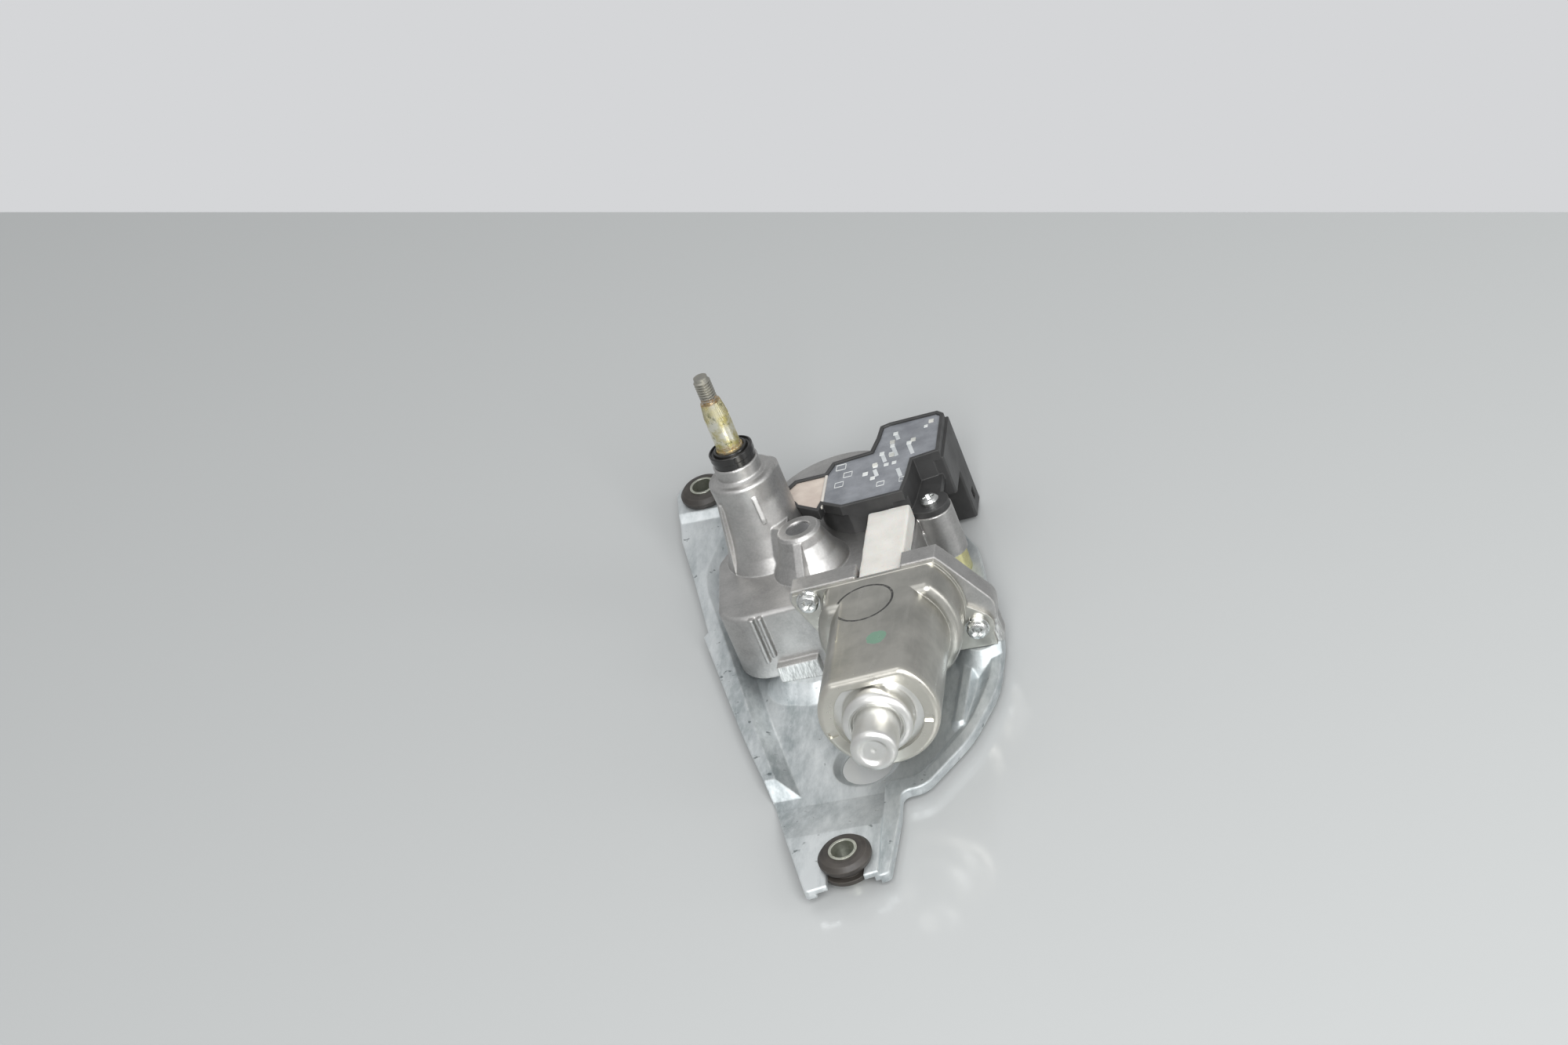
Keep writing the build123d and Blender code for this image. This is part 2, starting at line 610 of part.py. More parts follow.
def magnet(side):
    """One arc magnet at the side of the can."""
    low = CAN_BASE_LEN + 5.0
    ring = tube(CAN_R - CAN_WALL, MAGNET_IN_R, low, low + MAGNET_LEN)
    reach = 2 * CAN_R
    rise = reach * math.tan(math.radians(MAGNET_HALF_ANGLE))
    wedge = make_face(Polyline((0, 0), (side * reach, -rise), (side * reach, rise), close=True))
    arc = ring & (Pos(0, 0, low - 1) * extrude(wedge, amount=MAGNET_LEN + 2))
    return arc & block((-60, 60), (-60, CAN_FLAT - CAN_WALL), (0, CAN_LEN))


def brush_plate():
    """Moulded brush holder across the can's mouth."""
    plate = Pos(0, 0, 1.0) * extrude(d_face(CAN_R - CAN_WALL, CAN_FLAT - CAN_WALL), amount=2.4)
    plate -= rod(COMMUTATOR_R + 1.2, 0, 5)
    for side in (-1, 1):
        guide = block((COMMUTATOR_R + 1.4, 15.0), (-BRUSH_W / 2 - 1.2, BRUSH_W / 2 + 1.2), (3.4, 3.4 + BRUSH_W + 2.4))
        room = block((COMMUTATOR_R, 16.0), (-BRUSH_W / 2, BRUSH_W / 2), (4.6, 4.6 + BRUSH_W))
        turn = Rot(0, 0, 0 if side > 0 else 180)
        plate += turn * guide
        plate -= turn * room
    return plate


def brush(side):
    """Carbon brush that bears on the commutator."""
    turn = Rot(0, 0, 0 if side > 0 else 180)
    bar = block((COMMUTATOR_R + RUN_GAP, COMMUTATOR_R + BRUSH_LEN), (-BRUSH_W / 2, BRUSH_W / 2),
                (4.6, 4.6 + BRUSH_W))
    return turn * bar


def pan_screw(head_r, head_h, shank_r, length):
    """A cross-head pan screw along -Z, head upwards, with the head's seat at Z = 0."""
    head = turned([(0, 0), (head_r, 0), (head_r, 0.55 * head_h), (0.82 * head_r, 0.9 * head_h),
                   (0.5 * head_r, head_h), (0, head_h)])
    cross_w = 0.2 * head_r
    reach = 0.58 * head_r
    cross = block((-reach, reach), (-cross_w, cross_w), (0.4 * head_h, head_h + 1))
    cross += block((-cross_w, cross_w), (-reach, reach), (0.4 * head_h, head_h + 1))
    return head - cross + rod(shank_r, -length, 0)


def motor_screws():
    """The two screws that hold the motor's flange to the gear housing."""
    screw = Rot(0, 0, 30) * pan_screw(MOTOR_HEAD_R, 2.6, MOTOR_SCREW_R, 9.0)
    group = Part()
    for side in (-1, 1):
        group += Pos(side * SCREW_DX, -side * SCREW_DZ, FLANGE_THICK + SPRING_THICK) * screw
    return group


def spring_washers():
    """Split spring washers under the motor's screws."""
    ring = tube(SPRING_R, MOTOR_SCREW_R + RUN_GAP, FLANGE_THICK, FLANGE_THICK + SPRING_THICK)
    ring -= block((0, SPRING_R + 1), (-0.35, 0.35), (FLANGE_THICK - 1, FLANGE_THICK + SPRING_THICK + 1))
    group = Part()
    for side in (-1, 1):
        group += Pos(side * SCREW_DX, -side * SCREW_DZ) * Rot(0, 0, 110) * ring
    return group


def housing_outline():
    """Circles whose hull is the gear housing's plan."""
    return [
        (-12.5, -2.0, 8.0), (-5.0, -29.6, 12.0), (0, 0, 14.0),
        (WHEEL_X, WHEEL_Y, WHEEL_ROOM_R + HOUSING_WALL),
        (MOTOR_X, WORM_TUBE_END_Y - WORM_TUBE_R, WORM_TUBE_R), (MOTOR_X, -33.6, WORM_TUBE_R),
    ]


def tower():
    """Spindle tower: flared foot, waist, flat-topped shoulder and collar, with its ribs and ear."""
    shoulder = TOWER_SHOULDER_Z
    body = turned_soft([
        (0, TOP_Z - 6, 0), (TOWER_FOOT_R, TOP_Z - 6, 0), (TOWER_FOOT_R, TOP_Z, 0.8), (15.0, TOP_Z + 5, 4.0),
        (13.4, TOP_Z + 12, 10.0), (TOWER_R, TOP_Z + 24, 10.0), (TOWER_R + 0.4, shoulder, 1.2),
        (COLLAR_R + 1.2, shoulder + 0.3, 0.3), (COLLAR_R, shoulder + 1.2, 0.3), (COLLAR_R, COLLAR_Z, 0.3), (0, COLLAR_Z, 0),
    ])
    ear_angle = math.radians(40)
    body += rod(7.5, TOP_Z, shoulder - 2.0, 6.5 * math.cos(ear_angle), 6.5 * math.sin(ear_angle))
    for angle, foot_r, top_z in ((-139, TOWER_FOOT_R, 54.0), (-68, TOWER_R + 3.0, 55.0), (82, TOWER_FOOT_R + 1.0, 54.0)):
        low = TOP_Z - 1 if foot_r > TOWER_R + 4 else 45.0
        rib = make_face(Polyline((TOWER_R - 2, low), (foot_r, low), (foot_r, low + 2), (TOWER_R + 0.8, top_z),
                                 (TOWER_R - 2, top_z), close=True))
        body += Rot(0, 0, angle) * extrude(Plane.XZ * rib, amount=0.8, both=True)
    return body


def tower_ramp():
    """Sloping web of the casting between the tower and the pivot boss."""
    foot = Polyline((-10.0, 1.0), (-5.5, -13.0), (10.0, -19.0), (14.0, -2.0), close=True)
    top = Polyline((5.3, -3.6), (6.4, -12.0), (12.0, -15.0), (11.5, -4.8), close=True)
    faces = [Pos(0, 0, TOP_Z - 1) * make_face(foot), Pos(0, 0, BOSS_TOP_Z - 0.4) * make_face(top)]
    return loft(faces, ruled=True)


def pivot_boss():
    """Conical boss over the sector's pin with a web towards the motor."""
    cone = turned([(0, TOP_Z - 2), (BOSS_FOOT_R, TOP_Z - 2), (BOSS_FOOT_R - 1.5, TOP_Z + 1), (BOSS_FOOT_R - 4.2, TOP_Z + 5),
                   (BOSS_R + 0.6, TOP_Z + 10.5), (BOSS_R, BOSS_TOP_Z - 1.0), (BOSS_R - 0.8, BOSS_TOP_Z), (0, BOSS_TOP_Z)])
    web = make_face(Polyline((0, TOP_Z - 2), (MOTOR_BLOCK_Y - PIVOT_Y, TOP_Z - 2), (MOTOR_BLOCK_Y - PIVOT_Y, TOP_Z + 3.5),
                             (-BOSS_R, BOSS_TOP_Z - 1.5), (0, BOSS_TOP_Z - 1.5), close=True))
    web = extrude(Plane.YZ * web, amount=1.5, both=True)
    return Pos(PIVOT_X, PIVOT_Y) * (cone + web)


def motor_block():
    """Raised face of the casting that carries the motor's flange, with the slot for the foam."""
    depth = MOTOR_BLOCK_Y - FLANGE_Y
    block_part = MOTOR_PLANE.location * Pos(0, 0, -depth) * extrude(casting_face(), amount=depth)
    slot = block((FOAM_X[0] - SIDE_GAP, FOAM_X[1] + SIDE_GAP), (FLANGE_Y - 1, 0), (TOP_Z, TOP_Z + 20))
    foot_x = MOTOR_X + SCREW_DX
    foot_z = MOTOR_Z - SCREW_DZ
    foot = block((foot_x - EAR_R, foot_x + EAR_R + 0.8), (FLANGE_Y, MOTOR_BLOCK_Y), (foot_z - 12, foot_z))
    foot -= base_cut(LUG_PAD_LEVEL)
    right_limit = block((-30, MOTOR_X + 12), (FLANGE_Y - 1, 0), (-40, 60))
    low_part = block_part & right_limit
    high_part = block_part - right_limit - base_cut(LUG_PAD_LEVEL)
    return low_part + high_part + foot - slot


def lug_post():
    """Post at the right that carries the tray's screw lug, on its collar."""
    post = rod(POST_R, COLLAR_TOP_Z, POST_TOP_Z, POST_X, POST_Y)
    web = block((MOTOR_X, POST_X), (POST_Y - 5.5, POST_Y + 5.5), (COLLAR_TOP_Z, POST_TOP_Z - 6))
    return post + web


def gear_housing():
    """Die-cast gear housing with all its bores and rooms."""
    body = slab(housing_outline(), -20, TOP_Z)
    body = fillet(body.faces().sort_by(Axis.Z)[-1].edges(), 1.6)
    body = body - base_cut(BASE_LEVEL) + tower() + tower_ramp() + pivot_boss() + motor_block() + lug_post()
    heel = block((-1.0, 14.0), (-45.2, -36.0), (-10, 6.4)) - base_cut(BASE_LEVEL)
    body += heel
    for x, foot_z in ((-3.6, 8.0), (-0.6, 10.0)):
        body += slab([(x, -36.0, 0.9), (x, -42.6, 0.9)], foot_z, TOP_Z - 0.6)
    tray_room = extrude(tray_face(-DRAFT_GAP), amount=TRAY_TOP_Z - TRAY_FLOOR_Z + 2 * DRAFT_GAP)
    body -= Pos(0, 0, TRAY_FLOOR_Z - DRAFT_GAP) * tray_room
    body -= cover_plan(COVER_INSET) & base_cut(BASE_LEVEL + COVER_THICK)
    body -= rod(WHEEL_ROOM_R, -20, TOP_Z - ROOF, WHEEL_X, WHEEL_Y)
    tail_room = LINK_EYE_R + TAIL_TRAVEL + 0.6
    crank_room = LINK_EYE_R + max(CRANK_R, TAIL_TRAVEL) + 0.6
    link_room = slab([(TAIL_X, TAIL_Y, tail_room), (CRANK_X, CRANK_Y, crank_room)], -20, WHEEL_Z + 0.6)
    sector_tip = MODULE * SECTOR_TEETH / 2 + ADDENDUM
    pinion_tip = MODULE * PINION_TEETH / 2 + ADDENDUM
    sector_room = slab([(PIVOT_X, PIVOT_Y, sector_tip + 1.6), (0, 0, pinion_tip + 1.6), (TAIL_X, TAIL_Y, tail_room)],
                       -20, LOWER_BUSH_Z)
    body -= link_room + sector_room
    end = FLANGE_Y - WORM_TUBE_END_Y + WORM_END_WALL
    body -= MOTOR_PLANE.location * rod(WORM_BORE_R, end + END_BUSH_LEN, 1)
    body -= MOTOR_PLANE.location * rod(END_BUSH_R, end, 1)
    body -= rod(BUSH_R, LOWER_BUSH_Z, LOWER_BUSH_Z + LOWER_BUSH_LEN)
    body -= rod(BUSH_R - 1.0, LOWER_BUSH_Z, COLLAR_Z + 1)
    body -= rod(COLLAR_OUT_R + DRAFT_GAP, -20, COLLAR_TOP_Z, POST_X, POST_Y)
    body -= rod(BUSH_R, UPPER_BUSH_Z, COLLAR_Z + 1)
    body -= rod(WASHER_R + 0.1, UPPER_BUSH_Z + UPPER_BUSH_LEN, COLLAR_Z + 1)
    body -= rod(SECTOR_PIN_R, 0, BOSS_TOP_Z + 1, PIVOT_X, PIVOT_Y)
    body -= rod(WHEEL_PIN_R, 0, TOP_Z - 0.8, WHEEL_X, WHEEL_Y)
    for side in (-1, 1):
        hole = MOTOR_PLANE.location * rod(MOTOR_SCREW_R, -9, 1, side * SCREW_DX, -side * SCREW_DZ)
        body -= hole
    body -= rod(TRAY_SCREW_R, POST_TOP_Z - 8, POST_TOP_Z + 1, POST_X, POST_Y)
    for x, y, level in FEET:
        hole = Pos(x, y) * rod(FOOT_SCREW_R, level - 1, level + FOOT_SCREW_GRIP)
        body -= UNIT.inverse() * hole
    return body


def worm_end_bush():
    """Bush at the worm's far end."""
    end = FLANGE_Y - WORM_TUBE_END_Y + WORM_END_WALL
    return tube(END_BUSH_R, SHAFT_R + RUN_GAP, end, end + END_BUSH_LEN)


def cover_plan(inset):
    """The base cover's plan, drawn inside the gear housing's own."""
    return slab([(x, y, r - inset) for x, y, r in housing_outline()[:4]]
                + [(MOTOR_X - 5, 30, 9.5 - inset), (MOTOR_X - 5, -30, 9.5 - inset)], -20, TOP_Z)


def base_cover():
    """Pressed steel cover let into the gear housing's underside, parallel to the bracket."""
    band = block((-150, 150), (-150, 150), (BASE_LEVEL, BASE_LEVEL + COVER_THICK))
    return (UNIT * cover_plan(COVER_INSET + 0.1)) & band


def spacer_collar():
    """Yellow-passivated collar between the bracket's floor and the housing's rear foot."""
    bar = tube(COLLAR_OUT_R, COLLAR_IN_R, -10, COLLAR_TOP_Z, POST_X, POST_Y)
    return bar - base_cut(RIM_LEVEL)


def rounded_plan(corners):
    """A closed plan outline with each corner rounded by its own radius."""
    route = FilletPolyline(*[(x, y) for x, y, _ in corners], radius=[r for _, _, r in corners], close=True)
    return make_face(route)


def side_form(heights, x_range, drop):
    """A prism across the bracket under a side view of heights along Y, let down by a drop."""
    foot = [(heights[-1][0], -30.0), (heights[0][0], -30.0)]
    view = make_face(Polyline(*[(y, z - drop) for y, z in heights] + foot, close=True))
    return Pos(x_range[0], 0, 0) * extrude(Plane.YZ * view, amount=x_range[1] - x_range[0])


def top_form(drop):
    """Solid under the side view of the bracket's arms and rim, let down by a drop."""
    rear = [(56.4, RIM_LEVEL), (60, SEAT_LEVEL), (100, SEAT_LEVEL)]
    main = [(-200, SEAT_LEVEL), (-126, SEAT_LEVEL), (-104, 0), (-99.5, 0), (-93.5, RIM_LEVEL)] + rear
    strip = [(-200, RIM_LEVEL)] + rear
    half = 0.8 * drop
    form = side_form(main, (-100, ARM_STRIP_X - half), drop) + side_form(strip, (ARM_STRIP_X + half, 120), drop)
    if drop:
        step = (ARM_STRIP_X - half, ARM_STRIP_X + half)
        form += side_form(main, step, drop) & side_form(strip, step, drop)
    return form


def mound(circles, low, high, slope):
    """A rounded pad with sloping sides between two heights."""
    shrink = (high - low) * math.tan(math.radians(slope))
    top = [(x, y, r - shrink) for x, y, r in circles]
    return loft([Pos(0, 0, low) * hull_face(circles), Pos(0, 0, high) * hull_face(top)])


def bracket_form(drop):
    """Solid under the bracket's top face, or under its bottom face where the drop is the sheet."""
    plan = rounded_plan(OUTLINE)
    pan = rounded_plan(PAN)
    if drop:
        plan = offset(plan, -drop, kind=Kind.INTERSECTION)
        plan += Pos(27.5, -150) * Rectangle(21, 12)
        for side in (-1, 1):
            plan += Pos(side * 36.5, 77) * Rectangle(17, 8)
        pan = offset(pan, 0.5 * drop)
    body = extrude(plan, amount=20, both=True) & top_form(drop)
    room = Pos(0, 0, -drop) * extrude(pan, amount=SEAT_LEVEL + 2, taper=-WALL_SLOPE)
    body -= room & block((-100, 120), (-104, 100), (-30, 30))
    pads = [
        ([(HEEL_X - 3.0, HEEL_Y + 2, 11.5), (HEEL_X + 4.0, HEEL_Y, 11.5)], BASE_LEVEL, 0.0, PAD_SLOPE),
        ([(LUG_X, LUG_Y, 11.4), (LUG_X - 2.0, LUG_Y - 1, 11.4)], LUG_PAD_LEVEL, 0.0, POST_SLOPE),
        ([(64.5, -49.0, 3.6), (62.0, -77.0, 3.6)], 3.0, 0.0, POST_SLOPE),
    ]
    limit = extrude(plan, amount=40, both=True)
    for circles, level, foot_level, slope in pads:
        if drop:
            circles = [(x, y, r - 0.5 * drop) for x, y, r in circles]
        body += mound(circles, foot_level - drop, level - drop, slope) & limit
    return body


def mounting_bracket():
    """Stamped sheet-steel bracket: rim with a turned-down edge, sunk floor, pads, bead and slots."""
    sheet = bracket_form(0.0) - bracket_form(SHEET)
    sheet -= block((-200, 200), (-200, 200), (-40, -SHEET))
    near_pan = extrude(offset(rounded_plan(PAN), 4.7), amount=40, both=True)
    sheet -= top_form(FLANGE_DEPTH) - near_pan
    for x, y, heading in GROMMETS.values():
        aim = math.radians(heading)
        sheet -= slab([(x, y, NOTCH_R), (x + 20 * math.cos(aim), y + 20 * math.sin(aim), NOTCH_R - 1.2)], -10, 20)
    for x, y, _ in FEET:
        sheet -= rod(FOOT_SCREW_R + 0.3, -5, 20, x, y)
    dish = Pos(0, 0, -SHEET / 2) * Cone(DRAIN_R, DRAIN_DISH_R, SHEET)
    sheet -= Pos(*DRAIN) * (dish + rod(DRAIN_R, -5, 5))
    return sheet


def foot_screws():
    """Hexagon screws that hold the gear unit's feet, their heads hidden under the bracket."""
    group = Part()
    for x, y, level in FEET:
        under = level - SHEET
        head = extrude(RegularPolygon(FOOT_HEAD_R, 6, rotation=30), amount=FOOT_HEAD_H)
        screw = Pos(x, y, under - FOOT_HEAD_H) * head
        group += screw + rod(FOOT_SCREW_R, under - 1, level + FOOT_SCREW_GRIP, x, y)
    return group


def grommet(x, y):
    """Rubber grommet gripping the bracket's sheet in its waist."""
    top = SEAT_LEVEL + GROMMET_LIP
    foot = SEAT_LEVEL - SHEET - GROMMET_FOOT
    points = [
        (SLEEVE_R, foot), (GROMMET_R - 1.4, foot), (GROMMET_R - 0.2, foot + 0.9), (GROMMET_R - 0.2, SEAT_LEVEL - SHEET - 0.1),
        (GROMMET_WAIST_R, SEAT_LEVEL - SHEET - 0.1), (GROMMET_WAIST_R, SEAT_LEVEL + 0.1), (GROMMET_R - 0.4, SEAT_LEVEL + 0.1),
        (GROMMET_R, SEAT_LEVEL + 1.2), (GROMMET_R, SEAT_LEVEL + 2.2), (GROMMET_R - 1.2, top - 0.5), (GROMMET_R - 2.6, top),
        (SLEEVE_R, top),
    ]
    return Pos(x, y) * turned(points)


def sleeve(x, y):
    """Flanged steel sleeve through a grommet."""
    top = SEAT_LEVEL + GROMMET_LIP + SLEEVE_PROUD
    foot = SEAT_LEVEL - SHEET - GROMMET_FOOT - SLEEVE_PROUD
    body = tube(SLEEVE_R, SLEEVE_BORE_R, foot, top)
    return Pos(x, y) * body


def tray_face(inset=0.0):
    """Plan of the connector tray."""
    points = [
        (3.2, 12.4), (10.3, 22.3), (21.7, 22.0), (24.0, 28.3), (38.1, 29.5), (39.8, 37.6), (40.6, 45.3), (44.0, 46.4),
        (62.0, 46.2), (64.6, 43.4), (64.6, 18.0), (55.1, 16.6), (54.2, 6.0), (52.7, -3.8), (29.8, -4.1), (22.6, 1.2),
        (21.6, -3.0), (4.2, 10.2),
    ]
    face = make_face(Polyline(*points, close=True))
    if inset:
        face = offset(face, -inset, kind=Kind.INTERSECTION)
    return face - Circle(TRAY_HOLLOW_R + inset)


def tray_well():
    """Plan of the tray's deeper round part, which stands on the housing's top."""
    circle = Pos(39.5, 16.5) * Circle(22.0)
    return circle & tray_face()


def connector_tray():
    """Moulded tray with a raised wall, a screw lug and the plug hood."""
    body = Pos(0, 0, TRAY_FLOOR_Z) * extrude(tray_face(), amount=TRAY_TOP_Z - TRAY_FLOOR_Z)
    well = tray_well() - Circle(TOWER_FOOT_R + DRAFT_GAP)
    body += Pos(0, 0, TRAY_FOOT_Z) * extrude(well, amount=TRAY_TOP_Z - TRAY_FOOT_Z)
    body -= Pos(0, 0, TRAY_TOP_Z - POTTING_THICK - 0.8) * extrude(tray_face(TRAY_WALL), amount=10)
    hood = block(HOOD_X, HOOD_Y, (HOOD_FOOT_Z, TRAY_TOP_Z - POTTING_THICK - 0.8))
    hood += block(HOOD_X, (HOOD_SHORT_Y, HOOD_Y[1]), (HOOD_STEP_Z, TRAY_TOP_Z - POTTING_THICK - 0.8))
    hood = fillet(hood.edges().filter_by(Axis.Z), 0.8)
    lug_low = POST_TOP_Z
    lug = slab([(POST_X, POST_Y, LUG_R), (POST_X - 7, POST_Y + 3, LUG_R)], lug_low, lug_low + LUG_THICK)
    lug += block((POST_X - 6, POST_X + 3.5), (POST_Y + 5, HOOD_SHORT_Y + 1), (lug_low, lug_low + LUG_THICK))
    lug -= rod(TRAY_SCREW_R + 0.2, lug_low - 1, lug_low + LUG_THICK + 1, POST_X, POST_Y)
    body += hood + lug
    wall = SOCKET_WALL
    room = block((HOOD_X[0] + wall, HOOD_X[1] - wall), (HOOD_Y[0] + wall, HOOD_Y[1] - wall),
                 (HOOD_FOOT_Z - 1, HOOD_FOOT_Z + SOCKET_DEPTH))
    body -= room
    latch = block((HOOD_X[1] - wall - 1, HOOD_X[1] + 1), (37.2, 41.2), (HOOD_FOOT_Z + 4, HOOD_FOOT_Z + 8))
    return body - latch


def potting():
    """Milky potting poured into the tray, with holes round the posts that stand in it."""
    high = TRAY_TOP_Z - 0.8
    fill = Pos(0, 0, high - POTTING_THICK) * extrude(tray_face(TRAY_WALL), amount=POTTING_THICK)
    for x, y in POSTS:
        fill -= block((x - 0.9, x + 0.9), (y - 0.9, y + 0.9), (high - POTTING_THICK - 1, high + 1))
    return fill


POSTS = [(46.0, 33.0), (54.0, 31.0), (46.5, 24.0), (40.5, 20.0), (60.0, 41.0)]


def post_pins():
    """Square posts of the circuit whose tops show in the potting."""
    high = TRAY_TOP_Z - 0.4
    group = Part()
    for x, y in POSTS:
        group += block((x - 0.9, x + 0.9), (y - 0.9, y + 0.9), (high - 0.4 - POTTING_THICK, high))
    return group


def terminals():
    """Blade terminals in the plug hood's socket."""
    low = HOOD_FOOT_Z + 8.0
    high = HOOD_FOOT_Z + SOCKET_DEPTH
    mid_x = (HOOD_X[0] + HOOD_X[1]) / 2
    group = Part()
    span = HOOD_Y[1] - HOOD_Y[0] - 2 * SOCKET_WALL
    for index in range(TERMINAL_COUNT):
        y = HOOD_Y[0] + SOCKET_WALL + span * (index + 0.5) / TERMINAL_COUNT
        group += block((mid_x - 1.1, mid_x + 1.1), (y - 0.35, y + 0.35), (low, high))
    return group


def tray_screw():
    """Cross-head screw that holds the tray's lug."""
    screw = Rot(0, 0, 20) * pan_screw(3.4, 2.3, TRAY_SCREW_R, 8.0)
    return Pos(POST_X, POST_Y, POST_TOP_Z + LUG_THICK) * screw


def foam_pad():
    """Foam strip that lies on the housing between the tray and the motor's flange."""
    low = TOP_Z + 0.2
    return block(FOAM_X, (FLANGE_Y + 0.3, -4.1 - SIDE_GAP), (low, low + FOAM_THICK))


STEEL = (0.72, 0.73, 0.74)
ZINC = (0.70, 0.75, 0.76)
CAST = (0.60, 0.60, 0.61)
CAN_GREY = (0.62, 0.62, 0.58)
BLACK = (0.12, 0.12, 0.12)
COPPER = (0.72, 0.45, 0.25)
RUBBER = (0.30, 0.27, 0.24)
BRONZE = (0.62, 0.50, 0.30)
OLIVE = (0.65, 0.60, 0.38)


def build():
    """Build every sub-part and write it."""
    save("mounting_bracket", mounting_bracket(), ZINC)
    for name, (x, y, _) in GROMMETS.items():
        save(f"{name}_grommet", grommet(x, y), RUBBER)
        save(f"{name}_sleeve", sleeve(x, y), STEEL)
    unit_parts = {
        "gear_housing": (gear_housing(), CAST),
        "wiper_spindle": (wiper_spindle(), OLIVE),
        "spindle_seal": (spindle_seal(), BLACK),
        "thrust_washer": (thrust_washer(), STEEL),
        "retaining_ring": (retaining_ring(), STEEL),
        "lower_spindle_bush": (spindle_bush(LOWER_BUSH_Z, LOWER_BUSH_LEN), BRONZE),
        "upper_spindle_bush": (spindle_bush(UPPER_BUSH_Z, UPPER_BUSH_LEN), BRONZE),
        "sector_lever": (sector_lever(), STEEL),
        "sector_pin": (sector_pin(), STEEL),
        "drive_link": (drive_link(), ZINC),
        "worm_wheel": (worm_wheel(), (0.85, 0.83, 0.76)),
        "wheel_pin": (wheel_pin(), STEEL),
        "spacer_collar": (spacer_collar(), (0.80, 0.76, 0.40)),
        "connector_tray": (connector_tray(), BLACK),
        "potting": (potting(), (0.66, 0.67, 0.70)),
        "post_pins": (post_pins(), (0.85, 0.85, 0.87)),
        "terminals": (terminals(), BRONZE),
        "tray_screw": (tray_screw(), STEEL),
        "foam_pad": (foam_pad(), (0.92, 0.91, 0.88)),
    }
    for name, (shape, colour) in unit_parts.items():
        save(name, UNIT * shape, colour)
    save("base_cover", base_cover(), STEEL)
    save("foot_screws", foot_screws(), STEEL)
    motor_parts = {
        "motor_can": (motor_can(), CAN_GREY),
        "motor_end_cap": (motor_end_cap(), STEEL),
        "nose_bush": (nose_bush(), BRONZE),
        "thrust_ball": (thrust_ball(), STEEL),
        "left_magnet": (magnet(-1), (0.25, 0.25, 0.27)),
        "right_magnet": (magnet(1), (0.25, 0.25, 0.27)),
        "brush_plate": (brush_plate(), (0.45, 0.40, 0.33)),
        "left_brush": (brush(-1), (0.2, 0.2, 0.2)),
        "right_brush": (brush(1), (0.2, 0.2, 0.2)),
        "armature_shaft": (armature_shaft(), STEEL),
        "armature_core": (armature_core(), (0.45, 0.45, 0.47)),
        "armature_windings": (armature_windings(), COPPER),
        "commutator": (commutator(), COPPER),
        "worm_end_bush": (worm_end_bush(), BRONZE),
        "motor_screws": (motor_screws(), STEEL),
        "spring_washers": (spring_washers(), STEEL),
    }
    for name, (shape, colour) in motor_parts.items():
        save(name, MOTOR * shape, colour)


build()
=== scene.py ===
import bpy
import math
from mathutils import Euler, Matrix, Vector


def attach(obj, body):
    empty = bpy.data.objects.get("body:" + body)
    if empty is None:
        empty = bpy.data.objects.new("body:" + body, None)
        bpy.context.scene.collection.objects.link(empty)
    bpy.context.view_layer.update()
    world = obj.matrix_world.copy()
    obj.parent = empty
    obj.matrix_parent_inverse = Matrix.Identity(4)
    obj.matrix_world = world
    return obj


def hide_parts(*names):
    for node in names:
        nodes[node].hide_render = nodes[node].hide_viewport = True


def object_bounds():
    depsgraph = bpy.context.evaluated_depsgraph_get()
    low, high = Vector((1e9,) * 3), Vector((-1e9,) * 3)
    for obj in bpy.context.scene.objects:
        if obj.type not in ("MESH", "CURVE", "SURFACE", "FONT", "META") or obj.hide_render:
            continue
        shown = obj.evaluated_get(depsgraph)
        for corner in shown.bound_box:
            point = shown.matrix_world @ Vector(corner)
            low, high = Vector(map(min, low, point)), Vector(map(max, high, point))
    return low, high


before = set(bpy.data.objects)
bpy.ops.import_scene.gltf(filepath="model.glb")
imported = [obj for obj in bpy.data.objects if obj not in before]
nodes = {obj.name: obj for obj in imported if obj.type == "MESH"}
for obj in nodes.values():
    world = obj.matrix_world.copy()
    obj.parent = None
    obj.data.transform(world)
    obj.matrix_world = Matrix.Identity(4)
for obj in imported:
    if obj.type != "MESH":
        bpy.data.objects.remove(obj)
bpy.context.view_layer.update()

# The gear unit stands aslant on its bracket. Places given "in the unit" are in millimetres from the foot of
# the spindle's axis, before that slant.
LEAN = (math.radians(-6.5), math.radians(-4.0), 0.0)

# Camera: place in metres, turn in degrees
CAMERA_PLACE = (0.28701, -0.95812, 0.76250)
CAMERA_TURN = (52.2642, 16.5922, 3.8712)
LENS_MM = 81.0
SENSOR_MM = 36.0

# Table top, in metres. Its far edge crosses the picture behind the object.
TABLE_SIDE = 12.0
TABLE_MIDDLE = (-2.129, -5.353)
TABLE_TURN = math.radians(-20.1)
# Middle of a painted pool of light on the table, from the table's own middle. It lies to the right of the picture.
LIGHT_POOL_MIDDLE = (2.129, 5.3, 0.0)

# Lamps: name, place, the point on the object that they aim at, width and height, watts
LAMPS = [
    ("overhead_softbox", (-0.25, 0.15, 1.25), (0.02, -0.02, 0.02), (1.1, 0.8), 2.0),
    ("front_fill", (0.45, -1.25, 1.15), (0.02, -0.03, 0.02), (1.0, 0.8), 37.0),
    ("side_strip", (1.15, -0.45, 0.5), (0.02, -0.03, 0.02), (0.4, 0.9), 4.0),
]

# Marks on the can's flat, in the unit: the plain ink ring and the green paint dot
FLAT_HEIGHT = 34.6
RING_MIDDLE = (42.6, -63.2)
RING_RADIUS = 10.1
DOT_MIDDLE = (49.0, -86.2)
DOT_RADIUS = 3.45

